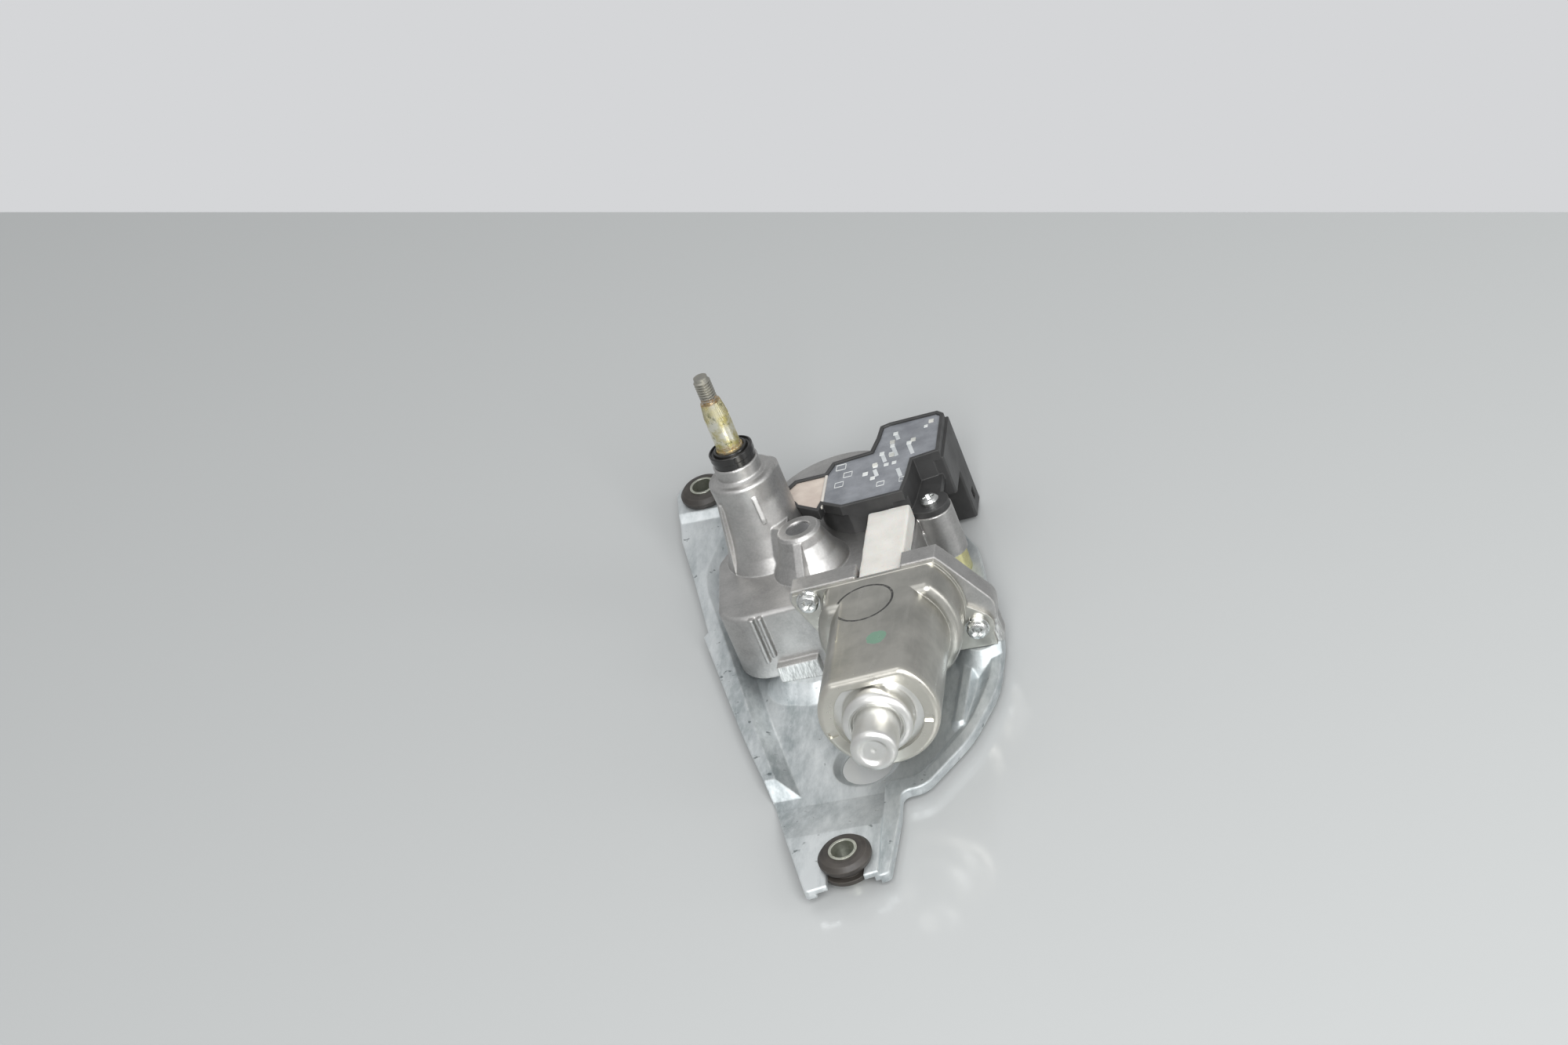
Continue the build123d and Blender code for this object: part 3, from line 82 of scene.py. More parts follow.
# Heights on the spindle, in the unit
RUST_TOP = 74.2
KNURL = (84.2, 90.2)
THREAD_FOOT = 89.6

# Potting in the connector tray, in the unit
TRAY_TOP = 39.0
FILL_TOP = 38.2
RIDGE_X = 21.6
POST_HEADS = [
    (41.6, 43.4, 25.6, 27.8), (45.3, 47.0, 29.6, 31.6), (45.8, 47.6, 37.6, 39.6), (51.5, 53.4, 28.8, 30.8),
    (57.4, 58.8, 37.6, 39.3), (46.9, 48.6, 17.6, 19.4), (45.2, 46.8, 24.4, 26.2), (36.2, 38.2, 14.4, 16.6),
    (39.8, 41.6, 18.2, 20.0), (39.4, 41.2, 10.4, 12.4), (43.9, 45.7, 17.6, 19.4),
]
POST_SHANKS = [
    (43.4, 23.6, 6.0), (47.3, 26.6, 7.6), (47.5, 36.2, 4.4), (53.3, 25.6, 8.2), (50.2, 11.0, 6.0), (41.2, 14.6, 5.0),
]
SHANK_HALF = 0.75
SHANK_TURN = 0.27
LANDS = [(27.3, 24.6, 1.9), (30.4, 18.4, 1.7), (27.6, 12.8, 1.7), (43.6, 6.4, 1.5), (52.0, 5.9, 1.5)]
LAND_WALL = 0.28

# Foam strip, in the unit: left, right, front, rear, bottom, top
FOAM = (38.4, 54.0, -46.7, -4.5, 27.2, 34.0)

# Kinds of shader node
COORDS = "ShaderNodeTexCoord"
MAPPING = "ShaderNodeMapping"
NOISE = "ShaderNodeTexNoise"
RANGE = "ShaderNodeMapRange"
MATH = "ShaderNodeMath"
VECTOR = "ShaderNodeVectorMath"
SPLIT = "ShaderNodeSeparateXYZ"
MIX = "ShaderNodeMix"
BUMP = "ShaderNodeBump"
SHADER = "ShaderNodeBsdfPrincipled"
GLOW = "ShaderNodeBackground"


def linear(code):
    """An sRGB hex colour as linear RGBA."""
    parts = [int(code[i:i + 2], 16) / 255 for i in (1, 3, 5)]
    return [c / 12.92 if c <= 0.04045 else ((c + 0.055) / 1.055) ** 2.4 for c in parts] + [1.0]


def add(tree, kind, inputs=(), **settings):
    """Add a shader node, fill or link its inputs, given in order or by socket, and return its outputs."""
    node = tree.nodes.new(kind)
    for name, value in settings.items():
        setattr(node, name, value)
    for socket, value in (inputs.items() if isinstance(inputs, dict) else enumerate(inputs)):
        if isinstance(value, bpy.types.NodeSocket):
            tree.links.new(value, node.inputs[socket])
        else:
            node.inputs[socket].default_value = linear(value) if isinstance(value, str) else value
    return node.outputs


# Camera, table and light

def place_camera():
    """Long-lens view from above the motor's nose, as the photograph was taken."""
    data = bpy.data.cameras.new("view")
    data.sensor_width = SENSOR_MM
    data.sensor_fit = "HORIZONTAL"
    data.lens = LENS_MM
    data.clip_end = 50.0
    camera = bpy.data.objects.new("view", data)
    camera.location = CAMERA_PLACE
    camera.rotation_euler = Euler([math.radians(v) for v in CAMERA_TURN], "XYZ")
    bpy.context.scene.collection.objects.link(camera)
    bpy.context.scene.camera = camera


def place_lamps():
    """Large area lamps that aim at the object."""
    for name, place, aim, (width, height), watts in LAMPS:
        data = bpy.data.lights.new(name, "AREA")
        data.shape = "RECTANGLE"
        data.size, data.size_y = width, height
        data.energy = watts
        lamp = bpy.data.objects.new(name, data)
        lamp.location = place
        lamp.rotation_euler = (Vector(aim) - Vector(place)).to_track_quat("-Z", "Y").to_euler()
        bpy.context.scene.collection.objects.link(lamp)


def table_with_painted_light():
    """White table laminate: pale grey with a painted pool of light, brightest near the object and fading to darker
    grey far off, and smooth enough for a faint reflection.
    """
    material, tree = new_material("table_with_painted_light")
    spot = add(tree, COORDS)["Object"]
    reach = add(tree, VECTOR, (spot, LIGHT_POOL_MIDDLE), operation="DISTANCE")["Value"]
    # Painted light: the colour fades from pale grey at the pool's middle to darker grey far away.
    pool_fade = add(tree, RANGE, (reach, 0.08, 0.6))[0]
    tone = add(tree, MIX, {0: pool_fade, 6: "#D2D3D3", 7: "#A7A9A9"}, data_type="RGBA")[2]
    # Painted light: a near-white colour close to the object, painted against the shade that falls round it.
    edge = add(tree, RANGE, (reach, 0.12, 0.28))[0]
    tone = add(tree, MIX, {0: edge, 6: "#F6F7F7", 7: tone}, data_type="RGBA")[2]
    shade = add(tree, SHADER, {"Base Color": tone, "Roughness": 0.14, "IOR": 1.45})[0]
    add(tree, "ShaderNodeOutputMaterial", {"Surface": shade})
    return material


def build_table():
    """The table top under the object's lowest point."""
    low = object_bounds()[0][2]
    bpy.ops.object.select_all(action="DESELECT")
    bpy.ops.mesh.primitive_plane_add(size=TABLE_SIDE, location=(*TABLE_MIDDLE, low), rotation=(0, 0, TABLE_TURN))
    table = bpy.context.active_object
    table.name = "table_top"
    table.data.materials.append(table_with_painted_light())


def build_surround():
    """A bright room that is darker near the horizon, which the camera sees as a plain pale wall."""
    world = bpy.data.worlds.new("surround")
    bpy.context.scene.world = world
    world.use_nodes = True
    tree = world.node_tree
    tree.nodes.clear()
    seen = add(tree, "ShaderNodeLightPath")["Is Camera Ray"]
    rise = add(tree, SPLIT, (add(tree, COORDS)["Generated"],))["Z"]
    power = add(tree, RANGE, (rise, 0.0, 0.75, 0.62, 0.74))[0]
    room = add(tree, GLOW, {"Color": "#E2E3E4", "Strength": power})[0]
    wall = add(tree, GLOW, {"Color": "#D5D6D8", "Strength": 1.0})[0]
    both = add(tree, "ShaderNodeMixShader", (seen, room, wall))[0]
    add(tree, "ShaderNodeOutputWorld", {"Surface": both})


# Shader groups shared by the finishes

def new_material(name):
    """An empty node material and its tree."""
    material = bpy.data.materials.new(name)
    material.use_nodes = True
    material.node_tree.nodes.clear()
    return material, material.node_tree


def unit_spot(tree):
    """The surface point in the unit, in millimetres."""
    spot = add(tree, COORDS)["Object"]
    turn = {"Vector": spot, "Rotation": LEAN}
    level = add(tree, "ShaderNodeVectorRotate", turn, rotation_type="EULER_XYZ", invert=True)[0]
    return add(tree, VECTOR, {0: level, "Scale": 1000.0}, operation="SCALE")[0]


def clouded(tree, spot, size_mm, detail, rough, spread, dark, light):
    """Two tones that drift into each other in clouds of a size, and the clouds' own values."""
    clouds = add(tree, NOISE, {"Vector": spot, "Scale": 1000 / size_mm, "Detail": detail, "Roughness": rough})["Fac"]
    share = add(tree, RANGE, (clouds, *spread))[0]
    return add(tree, MIX, {0: share, 6: dark, 7: light}, data_type="RGBA")[2], clouds


def spotted(tree, spot, size_mm, spread, tone, colour, most, detail=2.0, rough=0.5):
    """Small spots of a colour over a tone, where a noise of their size runs high."""
    spots = add(tree, NOISE, {"Vector": spot, "Scale": 1000 / size_mm, "Detail": detail, "Roughness": rough})["Fac"]
    share = add(tree, RANGE, (spots, *spread, 0.0, most))[0]
    return add(tree, MIX, {0: share, 6: tone, 7: colour}, data_type="RGBA")[2]


def washed(tree, share, most, tone, colour):
    """A colour laid over a tone where a share says so, up to the most that it covers."""
    cover = add(tree, MATH, (share, most), operation="MULTIPLY")[0]
    return add(tree, MIX, {0: cover, 6: tone, 7: colour}, data_type="RGBA")[2]


def edge_highlight_mask(tree, radius_mm):
    """Mask for painted edge highlights: one where the surface turns a sharp corner within the radius, zero on open
    faces, and its softened normal.
    """
    soft = add(tree, "ShaderNodeBevel", {"Radius": radius_mm / 1000}, samples=4)[0]
    face = add(tree, "ShaderNodeNewGeometry")["Normal"]
    along = add(tree, VECTOR, (soft, face), operation="DOT_PRODUCT")["Value"]
    return add(tree, RANGE, (along, 0.995, 0.93))[0], soft


def from_mark(tree, place, middle):
    """How far the surface point lies from a mark's middle, along the can's flat, in the unit."""
    squares = []
    for axis, at in zip("XY", middle):
        away = add(tree, MATH, (place[axis], at), operation="SUBTRACT")[0]
        squares.append(add(tree, MATH, (away, away), operation="MULTIPLY")[0])
    total = add(tree, MATH, squares, operation="ADD")[0]
    return add(tree, MATH, (total,), operation="SQRT")[0]


def finish_surface(tree, surface, height, bump_um, soft=None):
    """The material's last nodes: a bump of that height, over the softened normal if there is one, and its shader."""
    bump = {"Strength": 1.0, "Distance": bump_um * 1e-6, "Height": height}
    if soft is not None:
        bump["Normal"] = soft
    shade = add(tree, SHADER, {**surface, "Normal": add(tree, BUMP, bump)[0]})[0]
    add(tree, "ShaderNodeOutputMaterial", {"Surface": shade})


# Finishes

def metal_finish(name, light, dark, patch_mm, grain_mm, smooth, rough, bump_um, edge=None, round_mm=0.5,
                 speck=None, specks_mm=2.5):
    """Bare metal: tone and gloss drift in patches, a fine grain lifts the surface and sharp edges carry a painted
    highlight, broken up by the grain.
    """
    material, tree = new_material(name)
    spot = add(tree, COORDS)["Object"]
    tone, patches = clouded(tree, spot, patch_mm, 5.0, 0.6, (0.32, 0.68), dark, light)
    grain = add(tree, NOISE, {"Vector": spot, "Scale": 1000 / grain_mm, "Detail": 3.0, "Roughness": 0.55})["Fac"]
    if speck:
        tone = spotted(tree, spot, specks_mm, (0.66, 0.74), tone, speck, 1.0)
    soft = None
    if edge:
        # Painted highlight: sharp edges are washed towards the bright edge colour.
        edge_light, soft = edge_highlight_mask(tree, round_mm)
        tone = washed(tree, edge_light, add(tree, RANGE, (grain, 0.35, 0.6, 0.25, 0.8))[0], tone, edge)
    gloss = add(tree, RANGE, (patches, 0.3, 0.7, rough, smooth))[0]
    finish_surface(tree, {"Base Color": tone, "Roughness": gloss, "Metallic": 1.0}, grain, bump_um, soft)
    return material


def moulded_finish(name, light, dark, grain_mm, roughness, bump_um, coat=0.0, edge=None):
    """Plastic or rubber: slight tone drift, a moulded grain, and a paler painted highlight on sharp edges."""
    material, tree = new_material(name)
    spot = add(tree, COORDS)["Object"]
    tone, drift = clouded(tree, spot, 11.0, 4.0, 0.6, (0.35, 0.65), dark, light)
    grain = add(tree, NOISE, {"Vector": spot, "Scale": 1000 / grain_mm, "Detail": 2.0, "Roughness": 0.6})["Fac"]
    soft = None
    if edge:
        # Painted highlight: sharp edges are washed paler.
        edge_light, soft = edge_highlight_mask(tree, 0.5)
        tone = washed(tree, edge_light, 0.6, tone, edge)
    gloss = add(tree, RANGE, (drift, 0.3, 0.7, roughness + 0.06, roughness - 0.04))[0]
    surface = {"Base Color": tone, "Roughness": gloss, "IOR": 1.5, "Coat Weight": coat, "Coat Roughness": 0.12}
    finish_surface(tree, surface, grain, bump_um, soft)
    return material


def zinc_sheet():
    """Zinc-plated bracket sheet: blue-grey clouds, dark specks, rolled streaks and a painted highlight on its sharp
    edges.
    """
    material, tree = new_material("zinc_plated_sheet")
    spot = add(tree, COORDS)["Object"]
    rolled = add(tree, MAPPING, {"Vector": spot, "Scale": (1.0, 0.35, 1.0), "Rotation": (0, 0, -0.28)})[0]
    tone, clouds = clouded(tree, rolled, 16.0, 6.0, 0.68, (0.34, 0.64), "#A8AFB1", "#E3E7E8")
    fine = add(tree, NOISE, {"Vector": rolled, "Scale": 1000 / 1.6, "Detail": 4.0, "Roughness": 0.6})["Fac"]
    frost = add(tree, RANGE, (fine, 0.45, 0.7, 0.0, 0.35))[0]
    tone = add(tree, MIX, {0: frost, 6: tone, 7: "#E6E9EA"}, data_type="RGBA")[2]
    tone = spotted(tree, spot, 3.2, (0.69, 0.75), tone, "#525C5E", 0.65)
    # Painted highlight along the sheet's sharp edges.
    edge_light, soft = edge_highlight_mask(tree, 1.1)
    tone = washed(tree, edge_light, add(tree, RANGE, (fine, 0.35, 0.6, 0.1, 0.7))[0], tone, "#E2E6E6")
    gloss = add(tree, RANGE, (clouds, 0.3, 0.7, 0.66, 0.48))[0]
    finish_surface(tree, {"Base Color": tone, "Roughness": gloss, "Metallic": 1.0}, fine, 14, soft)
    return material


def cast_aluminium():
    """Die-cast aluminium: warm grey skin with flow clouds, a painted highlight on its ridges and two milled feet."""
    material, tree = new_material("die_cast_aluminium")
    spot = add(tree, COORDS)["Object"]
    place = add(tree, SPLIT, (unit_spot(tree),))
    tone, clouds = clouded(tree, spot, 12.0, 5.0, 0.62, (0.33, 0.67), "#9E9D9C", "#BCBBB9")
    grain = add(tree, NOISE, {"Vector": spot, "Scale": 1000 / 0.8, "Detail": 4.0, "Roughness": 0.6})["Fac"]
    skin = add(tree, RANGE, (grain, 0.4, 0.66, 0.0, 0.3))[0]
    tone = add(tree, MIX, {0: skin, 6: tone, 7: "#C9C8C6"}, data_type="RGBA")[2]
    # Painted highlight along the casting's ridges.
    edge_light, soft = edge_highlight_mask(tree, 0.9)
    tone = washed(tree, edge_light, add(tree, RANGE, (grain, 0.3, 0.6, 0.25, 0.8))[0], tone, "#DCDBD9")
    # The cutter left fine bright lines on the feet's front faces.
    lines = add(tree, MAPPING, {"Vector": spot, "Scale": (1.0, 1.0, 0.12)})[0]
    bright, cut = clouded(tree, lines, 0.5, 3.0, 0.7, (0.35, 0.65), "#A9A9A8", "#EDEDEB")
    low = add(tree, RANGE, (place["Z"], 6.6, 6.2))[0]
    front = add(tree, RANGE, (place["Y"], -43.2, -43.8))[0]
    milled = add(tree, MATH, (low, front), operation="MULTIPLY")[0]
    tone = add(tree, MIX, {0: milled, 6: tone, 7: bright}, data_type="RGBA")[2]
    grooves = add(tree, MATH, (milled, cut), operation="MULTIPLY")[0]
    height = add(tree, MATH, (grain, grooves), operation="ADD")[0]
    gloss = add(tree, RANGE, (clouds, 0.3, 0.7, 0.5, 0.38))[0]
    finish_surface(tree, {"Base Color": tone, "Roughness": gloss, "Metallic": 1.0}, height, 35, soft)
    return material


def drawn_can():
    """Deep-drawn steel can: warm grey with drawing streaks, a plain ink ring and a green paint dot on its flat."""
    material, tree = new_material("deep_drawn_steel")
    spot = add(tree, COORDS)["Object"]
    unit = unit_spot(tree)
    place = add(tree, SPLIT, (unit,))
    tone, clouds = clouded(tree, spot, 15.0, 4.0, 0.6, (0.35, 0.65), "#A6A59F", "#C2C0B9")
    drawn = add(tree, VECTOR, (unit, (0.9, 0.12, 0.9)), operation="MULTIPLY")[0]
    streaks = add(tree, NOISE, {"Vector": drawn, "Scale": 0.35, "Detail": 5.0, "Roughness": 0.65})["Fac"]
    drag = add(tree, RANGE, (streaks, 0.5, 0.72, 0.0, 0.4))[0]
    tone = add(tree, MIX, {0: drag, 6: tone, 7: "#CBC9C2"}, data_type="RGBA")[2]
    # Painted highlight along the can's sharp edges.
    edge_light, soft = edge_highlight_mask(tree, 0.5)
    tone = washed(tree, edge_light, 0.6, tone, "#E6E4DC")
    rim = add(tree, RANGE, (place["Y"], -104.6, -107.4))[0]
    tone = washed(tree, rim, 0.6, tone, "#DEDBD1")
    top = add(tree, RANGE, (place["Z"], FLAT_HEIGHT, FLAT_HEIGHT + 0.2))[0]
    # The ring was stamped with a rubber stamp, so its ink is uneven.
    off_line = add(tree, MATH, (from_mark(tree, place, RING_MIDDLE), RING_RADIUS), operation="SUBTRACT")[0]
    off_line = add(tree, MATH, (off_line,), operation="ABSOLUTE")[0]
    line = add(tree, RANGE, (off_line, 0.52, 0.36))[0]
    smudge = add(tree, NOISE, {"Vector": spot, "Scale": 1000 / 1.1, "Detail": 3.0, "Roughness": 0.7})["Fac"]
    smudge = add(tree, RANGE, (smudge, 0.35, 0.5, 0.7, 1.0))[0]
    ink = add(tree, MATH, (line, top), operation="MULTIPLY")[0]
    ink = add(tree, MATH, (ink, smudge), operation="MULTIPLY")[0]
    tone = add(tree, MIX, {0: ink, 6: tone, 7: "#2B2B2A"}, data_type="RGBA")[2]
    # The paint dot was dabbed on, so its edge is ragged.
    rag = add(tree, NOISE, {"Vector": spot, "Scale": 1000 / 2.2, "Detail": 4.0, "Roughness": 0.6})["Fac"]
    rag = add(tree, RANGE, (rag, 0.3, 0.7, -0.35, 0.35))[0]
    reach = add(tree, MATH, (from_mark(tree, place, DOT_MIDDLE), rag), operation="ADD")[0]
    dab = add(tree, RANGE, (reach, DOT_RADIUS + 0.2, DOT_RADIUS))[0]
    paint = add(tree, MATH, (dab, top), operation="MULTIPLY")[0]
    green = add(tree, MIX, {0: clouds, 6: "#587D69", 7: "#6E917D"}, data_type="RGBA")[2]
    tone = washed(tree, paint, 0.92, tone, green)
    cover = add(tree, MATH, (ink, paint), operation="MAXIMUM")[0]
    metal = add(tree, RANGE, (cover, 0.0, 1.0, 1.0, 0.25))[0]
    grain = add(tree, NOISE, {"Vector": spot, "Scale": 1000 / 0.9, "Detail": 3.0, "Roughness": 0.6})["Fac"]
    gloss = add(tree, RANGE, (streaks, 0.3, 0.7, 0.38, 0.26))[0]
    finish_surface(tree, {"Base Color": tone, "Roughness": gloss, "Metallic": metal}, grain, 12, soft)
    return material


def spindle_steel():
    """Spindle: silver steel under a patchy olive film, with rust at its foot and at the thread's root."""
    material, tree = new_material("olive_passivated_steel")
    spot = add(tree, COORDS)["Object"]
    high = add(tree, SPLIT, (unit_spot(tree),))["Z"]
    tone, film = clouded(tree, spot, 4.0, 5.0, 0.65, (0.4, 0.6), "#E2E0D2", "#BFB57C")
    tone = spotted(tree, spot, 2.6, (0.6, 0.7), tone, "#6E7040", 1.0, 4.0, 0.6)
    bare = add(tree, MIX, {0: film, 6: "#6E6C66", 7: "#C4C3BE"}, data_type="RGBA")[2]
    thread = add(tree, RANGE, (high, THREAD_FOOT, THREAD_FOOT + 0.8))[0]
    tone = washed(tree, thread, 0.9, tone, bare)
    above = add(tree, RANGE, (high, KNURL[0], KNURL[0] + 0.6))[0]
    below = add(tree, RANGE, (high, KNURL[1], KNURL[1] - 0.6))[0]
    knurl = add(tree, MATH, (above, below), operation="MULTIPLY")[0]
    tone = washed(tree, knurl, 0.5, tone, "#DAD6BE")
    # Rust creeps up from the seal unevenly, and sits in the groove under the thread.
    creep = add(tree, RANGE, (film, 0.3, 0.7, -1.6, 1.6))[0]
    level = add(tree, MATH, (high, creep), operation="ADD")[0]
    foot = add(tree, RANGE, (level, RUST_TOP, RUST_TOP - 1.8))[0]
    groove_low = add(tree, RANGE, (high, 89.2, 90.0))[0]
    groove_high = add(tree, RANGE, (high, 92.4, 91.4))[0]
    groove = add(tree, MATH, (groove_low, groove_high), operation="MULTIPLY")[0]
    rusty = add(tree, MATH, (foot, groove), operation="MAXIMUM")[0]
    fine = add(tree, NOISE, {"Vector": spot, "Scale": 1000 / 0.7, "Detail": 4.0, "Roughness": 0.7})["Fac"]
    crust = add(tree, RANGE, (fine, 0.42, 0.6))[0]
    rust = add(tree, MATH, (rusty, crust), operation="MULTIPLY")[0]
    brown = add(tree, MIX, {0: film, 6: "#77502F", 7: "#A98D58"}, data_type="RGBA")[2]
    tone = add(tree, MIX, {0: rust, 6: tone, 7: brown}, data_type="RGBA")[2]
    gloss = add(tree, RANGE, (film, 0.35, 0.65, 0.3, 0.46))[0]
    metal = add(tree, RANGE, (rust, 0.0, 1.0, 1.0, 0.35))[0]
    finish_surface(tree, {"Base Color": tone, "Roughness": gloss, "Metallic": metal}, fine, 25)
    return material


def poured_fill():
    """Potting: a beige opaque nose before the ridge, and clear milky blue-grey resin behind it."""
    material, tree = new_material("milky_potting")
    spot = add(tree, COORDS)["Object"]
    across = add(tree, SPLIT, (unit_spot(tree),))["X"]
    clear, drift = clouded(tree, spot, 9.0, 4.0, 0.6, (0.35, 0.65), "#696C71", "#818489")
    cloud = add(tree, RANGE, (drift, 0.35, 0.65))[0]
    nose = add(tree, MIX, {0: cloud, 6: "#B7AAA0", 7: "#C7BCB1"}, data_type="RGBA")[2]
    behind = add(tree, RANGE, (across, RIDGE_X, RIDGE_X + 0.6))[0]
    tone = add(tree, MIX, {0: behind, 6: nose, 7: clear}, data_type="RGBA")[2]
    ripple = add(tree, NOISE, {"Vector": spot, "Scale": 1000 / 5.0, "Detail": 2.0, "Roughness": 0.5})["Fac"]
    surface = {"Base Color": tone, "Roughness": 0.24, "IOR": 1.5, "Subsurface Weight": 0.25,
               "Subsurface Scale": 0.002, "Subsurface Radius": (1.0, 1.0, 1.1)}
    finish_surface(tree, surface, ripple, 120)
    return material


def cell_foam():
    """Closed-cell foam: warm white, matt, with fine pores and faint handling marks."""
    material, tree = new_material("closed_cell_foam")
    spot = add(tree, COORDS)["Object"]
    tone, _ = clouded(tree, spot, 12.0, 5.0, 0.6, (0.35, 0.65), "#BEBCB6", "#CAC8C3")
    # The pores are about half a millimetre, drawn as coarse as the render can show.
    pores = add(tree, "ShaderNodeTexVoronoi", {"Vector": spot, "Scale": 1800.0})["Distance"]
    pits = add(tree, RANGE, (pores, 0.25, 0.0, 0.0, 0.12))[0]
    tone = add(tree, MIX, {0: pits, 6: tone, 7: "#B8B4AB"}, data_type="RGBA")[2]
    tone = spotted(tree, spot, 1.8, (0.72, 0.8), tone, "#A8A49B", 0.5)
    surface = {"Base Color": tone, "Roughness": 0.9, "Subsurface Weight": 0.15, "Subsurface Scale": 0.001}
    finish_surface(tree, surface, pores, 60)
    return material


def dress(material, *names):
    """Give CAD nodes one material."""
    for name in names:
        data = nodes[name].data
        data.materials.clear()
        data.materials.append(material)


def dress_metals():
    """Materials of the metal nodes."""
    dress(zinc_sheet(), "mounting_bracket", "base_cover")
    dress(cast_aluminium(), "gear_housing")
    dress(drawn_can(), "motor_can")
    dress(spindle_steel(), "wiper_spindle")
    # Bright zinc plating on turned and headed parts: near mirror, with darker pits.
    bright = metal_finish("bright_zinc_plating", "#DADBDA", "#B4B6B5", 3, 0.5, 0.2, 0.34, 8, edge="#F2F2F0",
                          round_mm=0.25, speck="#8C8D8A", specks_mm=1.2)
    dress(bright, "motor_screws", "spring_washers", "tray_screw", "foot_screws", "thrust_ball", "thrust_washer",
          "retaining_ring")
    # Drawn and tumbled steel cap: even silver satin, with softly shining edges.
    cap = metal_finish("satin_end_cap", "#EAEAE8", "#DADAD6", 9, 0.8, 0.3, 0.4, 3, edge="#F4F3EE", round_mm=1.1)
    dress(cap, "motor_end_cap")
    # Galvanised sleeves: dull greenish grey.
    dull = metal_finish("galvanised_sleeve", "#C5C7BC", "#9C9F93", 3, 0.5, 0.4, 0.55, 15, edge="#DCDDD4", round_mm=0.3)
    dress(dull, "front_sleeve", "rear_left_sleeve", "rear_right_sleeve")
    # Yellow-passivated zinc: a pale straw tint that drifts in patches.
    yellow = metal_finish("yellow_passivated_steel", "#DCD8A8", "#BFB882", 4, 0.5, 0.26, 0.42, 10)
    dress(yellow, "spacer_collar")
    # Ground tool steel: darker and smooth, with a painted highlight on its corners.
    ground = metal_finish("ground_tool_steel", "#A9A9AA", "#8B8B8D", 5, 0.3, 0.24, 0.38, 8, edge="#D0D0D0",
                          round_mm=0.3)
    dress(ground, "sector_lever", "sector_pin", "drive_link", "wheel_pin", "armature_shaft", "armature_core")
    # Sintered bronze: brown gold with a fine open grain.
    bronze = metal_finish("sintered_bronze", "#B58F55", "#8C6A3C", 2, 0.25, 0.4, 0.6, 20)
    dress(bronze, "lower_spindle_bush", "upper_spindle_bush", "nose_bush", "worm_end_bush")
    # Tinned brass blades: pale gold, smooth.
    brass = metal_finish("tinned_brass", "#D8CFAE", "#B9A875", 2, 0.3, 0.22, 0.4, 6)
    dress(brass, "terminals")
    # Enamelled copper wire and the commutator's bars: glossy red-brown.
    copper = metal_finish("enamelled_copper", "#B86B35", "#8A4A22", 2, 0.3, 0.25, 0.4, 20)
    dress(copper, "armature_windings", "commutator")


def dress_plastics():
    """Materials of the rubber, plastic, resin and ceramic nodes."""
    # Grommets: dull brown-black rubber, with a grey painted highlight on their rims.
    grommet = moulded_finish("grommet_rubber", "#3B3733", "#292623", 0.6, 0.5, 25, edge="#544F49")
    dress(grommet, "front_grommet", "rear_left_grommet", "rear_right_grommet")
    # Seal: black rubber with a thin film of oil.
    seal = moulded_finish("seal_rubber", "#1A1918", "#101010", 0.6, 0.24, 8, coat=0.25)
    dress(seal, "spindle_seal")
    # Glass-filled nylon: near black and satin, with a slightly grey painted highlight on its edges.
    plastic = moulded_finish("black_filled_nylon", "#343434", "#262626", 0.4, 0.44, 18, edge="#4A4A49")
    dress(plastic, "connector_tray")
    # Post heads: nickel-plated pins under a skin of clear resin.
    dress(moulded_finish("resin_over_pins", "#C4C4BE", "#A5A6A2", 0.8, 0.22, 10), "post_pins")
    dress(poured_fill(), "potting")
    # Acetal wheel: milky white, slightly waxy.
    acetal = moulded_finish("acetal_gear", "#E4E1D6", "#D6D2C5", 0.6, 0.4, 8)
    dress(acetal, "worm_wheel")
    # Sintered ferrite and pressed carbon: matt charcoal grey.
    ferrite = moulded_finish("ferrite_and_carbon", "#3A3A3C", "#2A2A2B", 0.4, 0.6, 20)
    dress(ferrite, "left_magnet", "right_magnet", "left_brush", "right_brush")
    # Phenolic paper laminate: dull tobacco brown.
    laminate = moulded_finish("phenolic_laminate", "#76613F", "#5E4C31", 0.5, 0.5, 15)
    dress(laminate, "brush_plate")


# Pieces

def unit_blocks(name, limits, bevel_mm, segments, turn=0.0):
    """Small blocks given by their limits in the unit, joined into one piece with rounded edges."""
    bpy.ops.object.select_all(action="DESELECT")
    made = []
    for x0, x1, y0, y1, z0, z1 in limits:
        middle = ((x0 + x1) / 2000, (y0 + y1) / 2000, (z0 + z1) / 2000)
        size = ((x1 - x0) / 1000, (y1 - y0) / 1000, (z1 - z0) / 1000)
        bpy.ops.mesh.primitive_cube_add(size=1.0, location=middle, rotation=(0, 0, turn), scale=size)
        made.append(bpy.context.active_object)
    for block in made:
        block.select_set(True)
    piece = made[0]
    bpy.context.view_layer.objects.active = piece
    bpy.ops.object.join()
    bpy.ops.object.transform_apply(location=True, rotation=True, scale=True)
    piece.name = name
    bevel = piece.modifiers.new("round", "BEVEL")
    bevel.width = bevel_mm / 1000
    bevel.segments = segments
    bpy.ops.object.modifier_apply(modifier=bevel.name)
    piece.rotation_euler = Euler(LEAN, "XYZ")
    bpy.ops.object.transform_apply(location=False, rotation=True, scale=False)
    return piece


def set_in_potting(piece, material):
    """Give a piece its resin and the body that carries it."""
    piece.data.materials.append(material)
    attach(piece, "gear_unit")


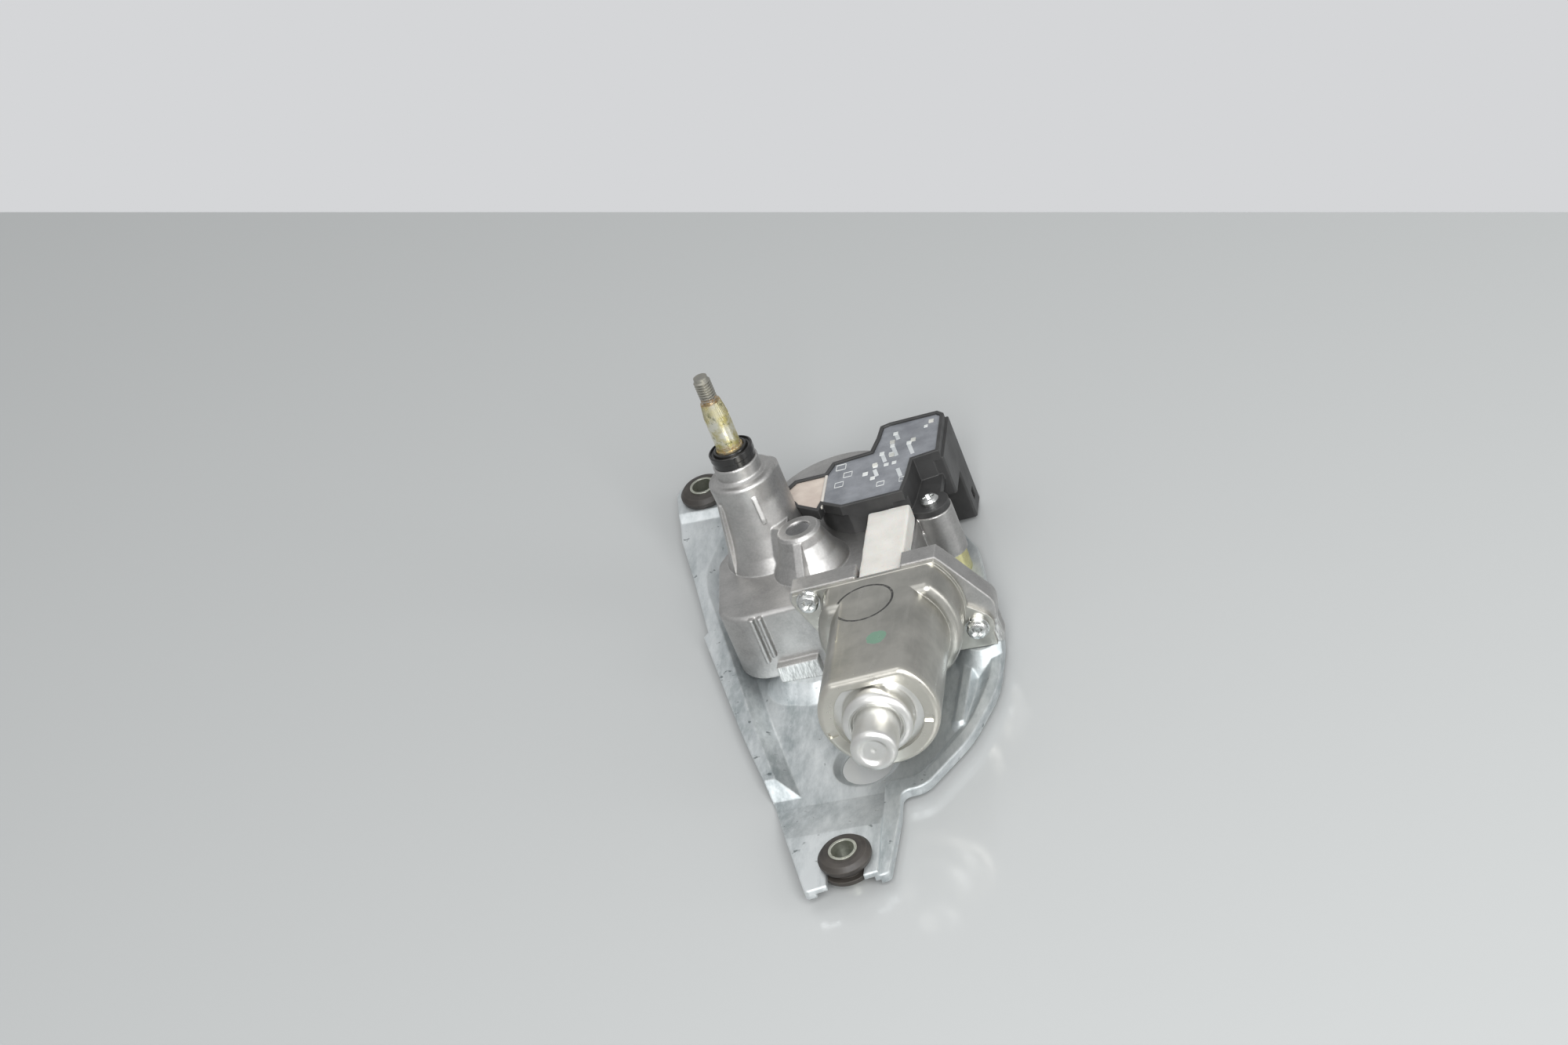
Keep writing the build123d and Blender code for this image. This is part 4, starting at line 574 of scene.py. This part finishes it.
def potting_details():
    """Heads and sunk shanks of the circuit's posts, square lands beside them, and the ridge before them."""
    top = FILL_TOP
    limits = [(x0, x1, y0, y1, top - 0.5, top + 0.18) for x0, x1, y0, y1 in POST_HEADS]
    for x, y, half in LANDS:
        left, right, front, rear = x - half, x + half, y - half, y + half
        z0, z1 = top - 0.3, top + 0.12
        limits += [
            (left, right, front, front + LAND_WALL, z0, z1), (left, right, rear - LAND_WALL, rear, z0, z1),
            (left, left + LAND_WALL, front, rear, z0, z1), (right - LAND_WALL, right, front, rear, z0, z1),
        ]
    heads = unit_blocks("potting_terminals", limits, 0.08, 1)
    # Clear moulded post tops: glossy, and paler than the resin round them.
    set_in_potting(heads, moulded_finish("clear_post_resin", "#CFD1CF", "#B9BCBC", 0.8, 0.2, 10))
    # The posts' shanks show through the resin as paler bars behind their heads.
    limits = [(x - SHANK_HALF, x + SHANK_HALF, y - length / 2, y + length / 2, top - 0.3, top + 0.06)
              for x, y, length in POST_SHANKS]
    shanks = unit_blocks("potting_shanks", limits, 0.05, 1, SHANK_TURN)
    set_in_potting(shanks, moulded_finish("sunk_post_resin", "#C0C3C4", "#A9ADAF", 1.6, 0.22, 10))
    # Clear ridge that parts the two pours: glossy and warm grey.
    ridge = unit_blocks("potting_ridge", [(21.7, 22.7, -0.4, 23.0, top - 0.5, TRAY_TOP - 0.25)], 0.3, 2)
    set_in_potting(ridge, moulded_finish("clear_ridge_resin", "#C6C2BB", "#B5B1AA", 0.8, 0.22, 15))


def foam_strip():
    """White closed-cell foam strip, slightly swollen, with soft edges and a dimpled skin."""
    piece = unit_blocks("foam_strip", [FOAM], 0.9, 4)
    bpy.ops.object.mode_set(mode="EDIT")
    bpy.ops.mesh.select_all(action="SELECT")
    bpy.ops.mesh.subdivide(number_cuts=12)
    bpy.ops.object.mode_set(mode="OBJECT")
    dimple = bpy.data.textures.new("foam_dimple", "CLOUDS")
    dimple.noise_scale = 0.006
    press = piece.modifiers.new("press", "DISPLACE")
    press.texture = dimple
    press.texture_coords = "LOCAL"
    press.strength = 0.0006
    press.mid_level = 0.62
    bpy.ops.object.modifier_apply(modifier=press.name)
    bpy.ops.object.shade_smooth()
    piece.data.materials.append(cell_foam())
    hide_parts("foam_pad")
    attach(piece, "gear_unit")


bpy.context.scene.view_settings.view_transform = "Standard"
place_camera()
build_table()
build_surround()
place_lamps()
dress_metals()
dress_plastics()
potting_details()
foam_strip()
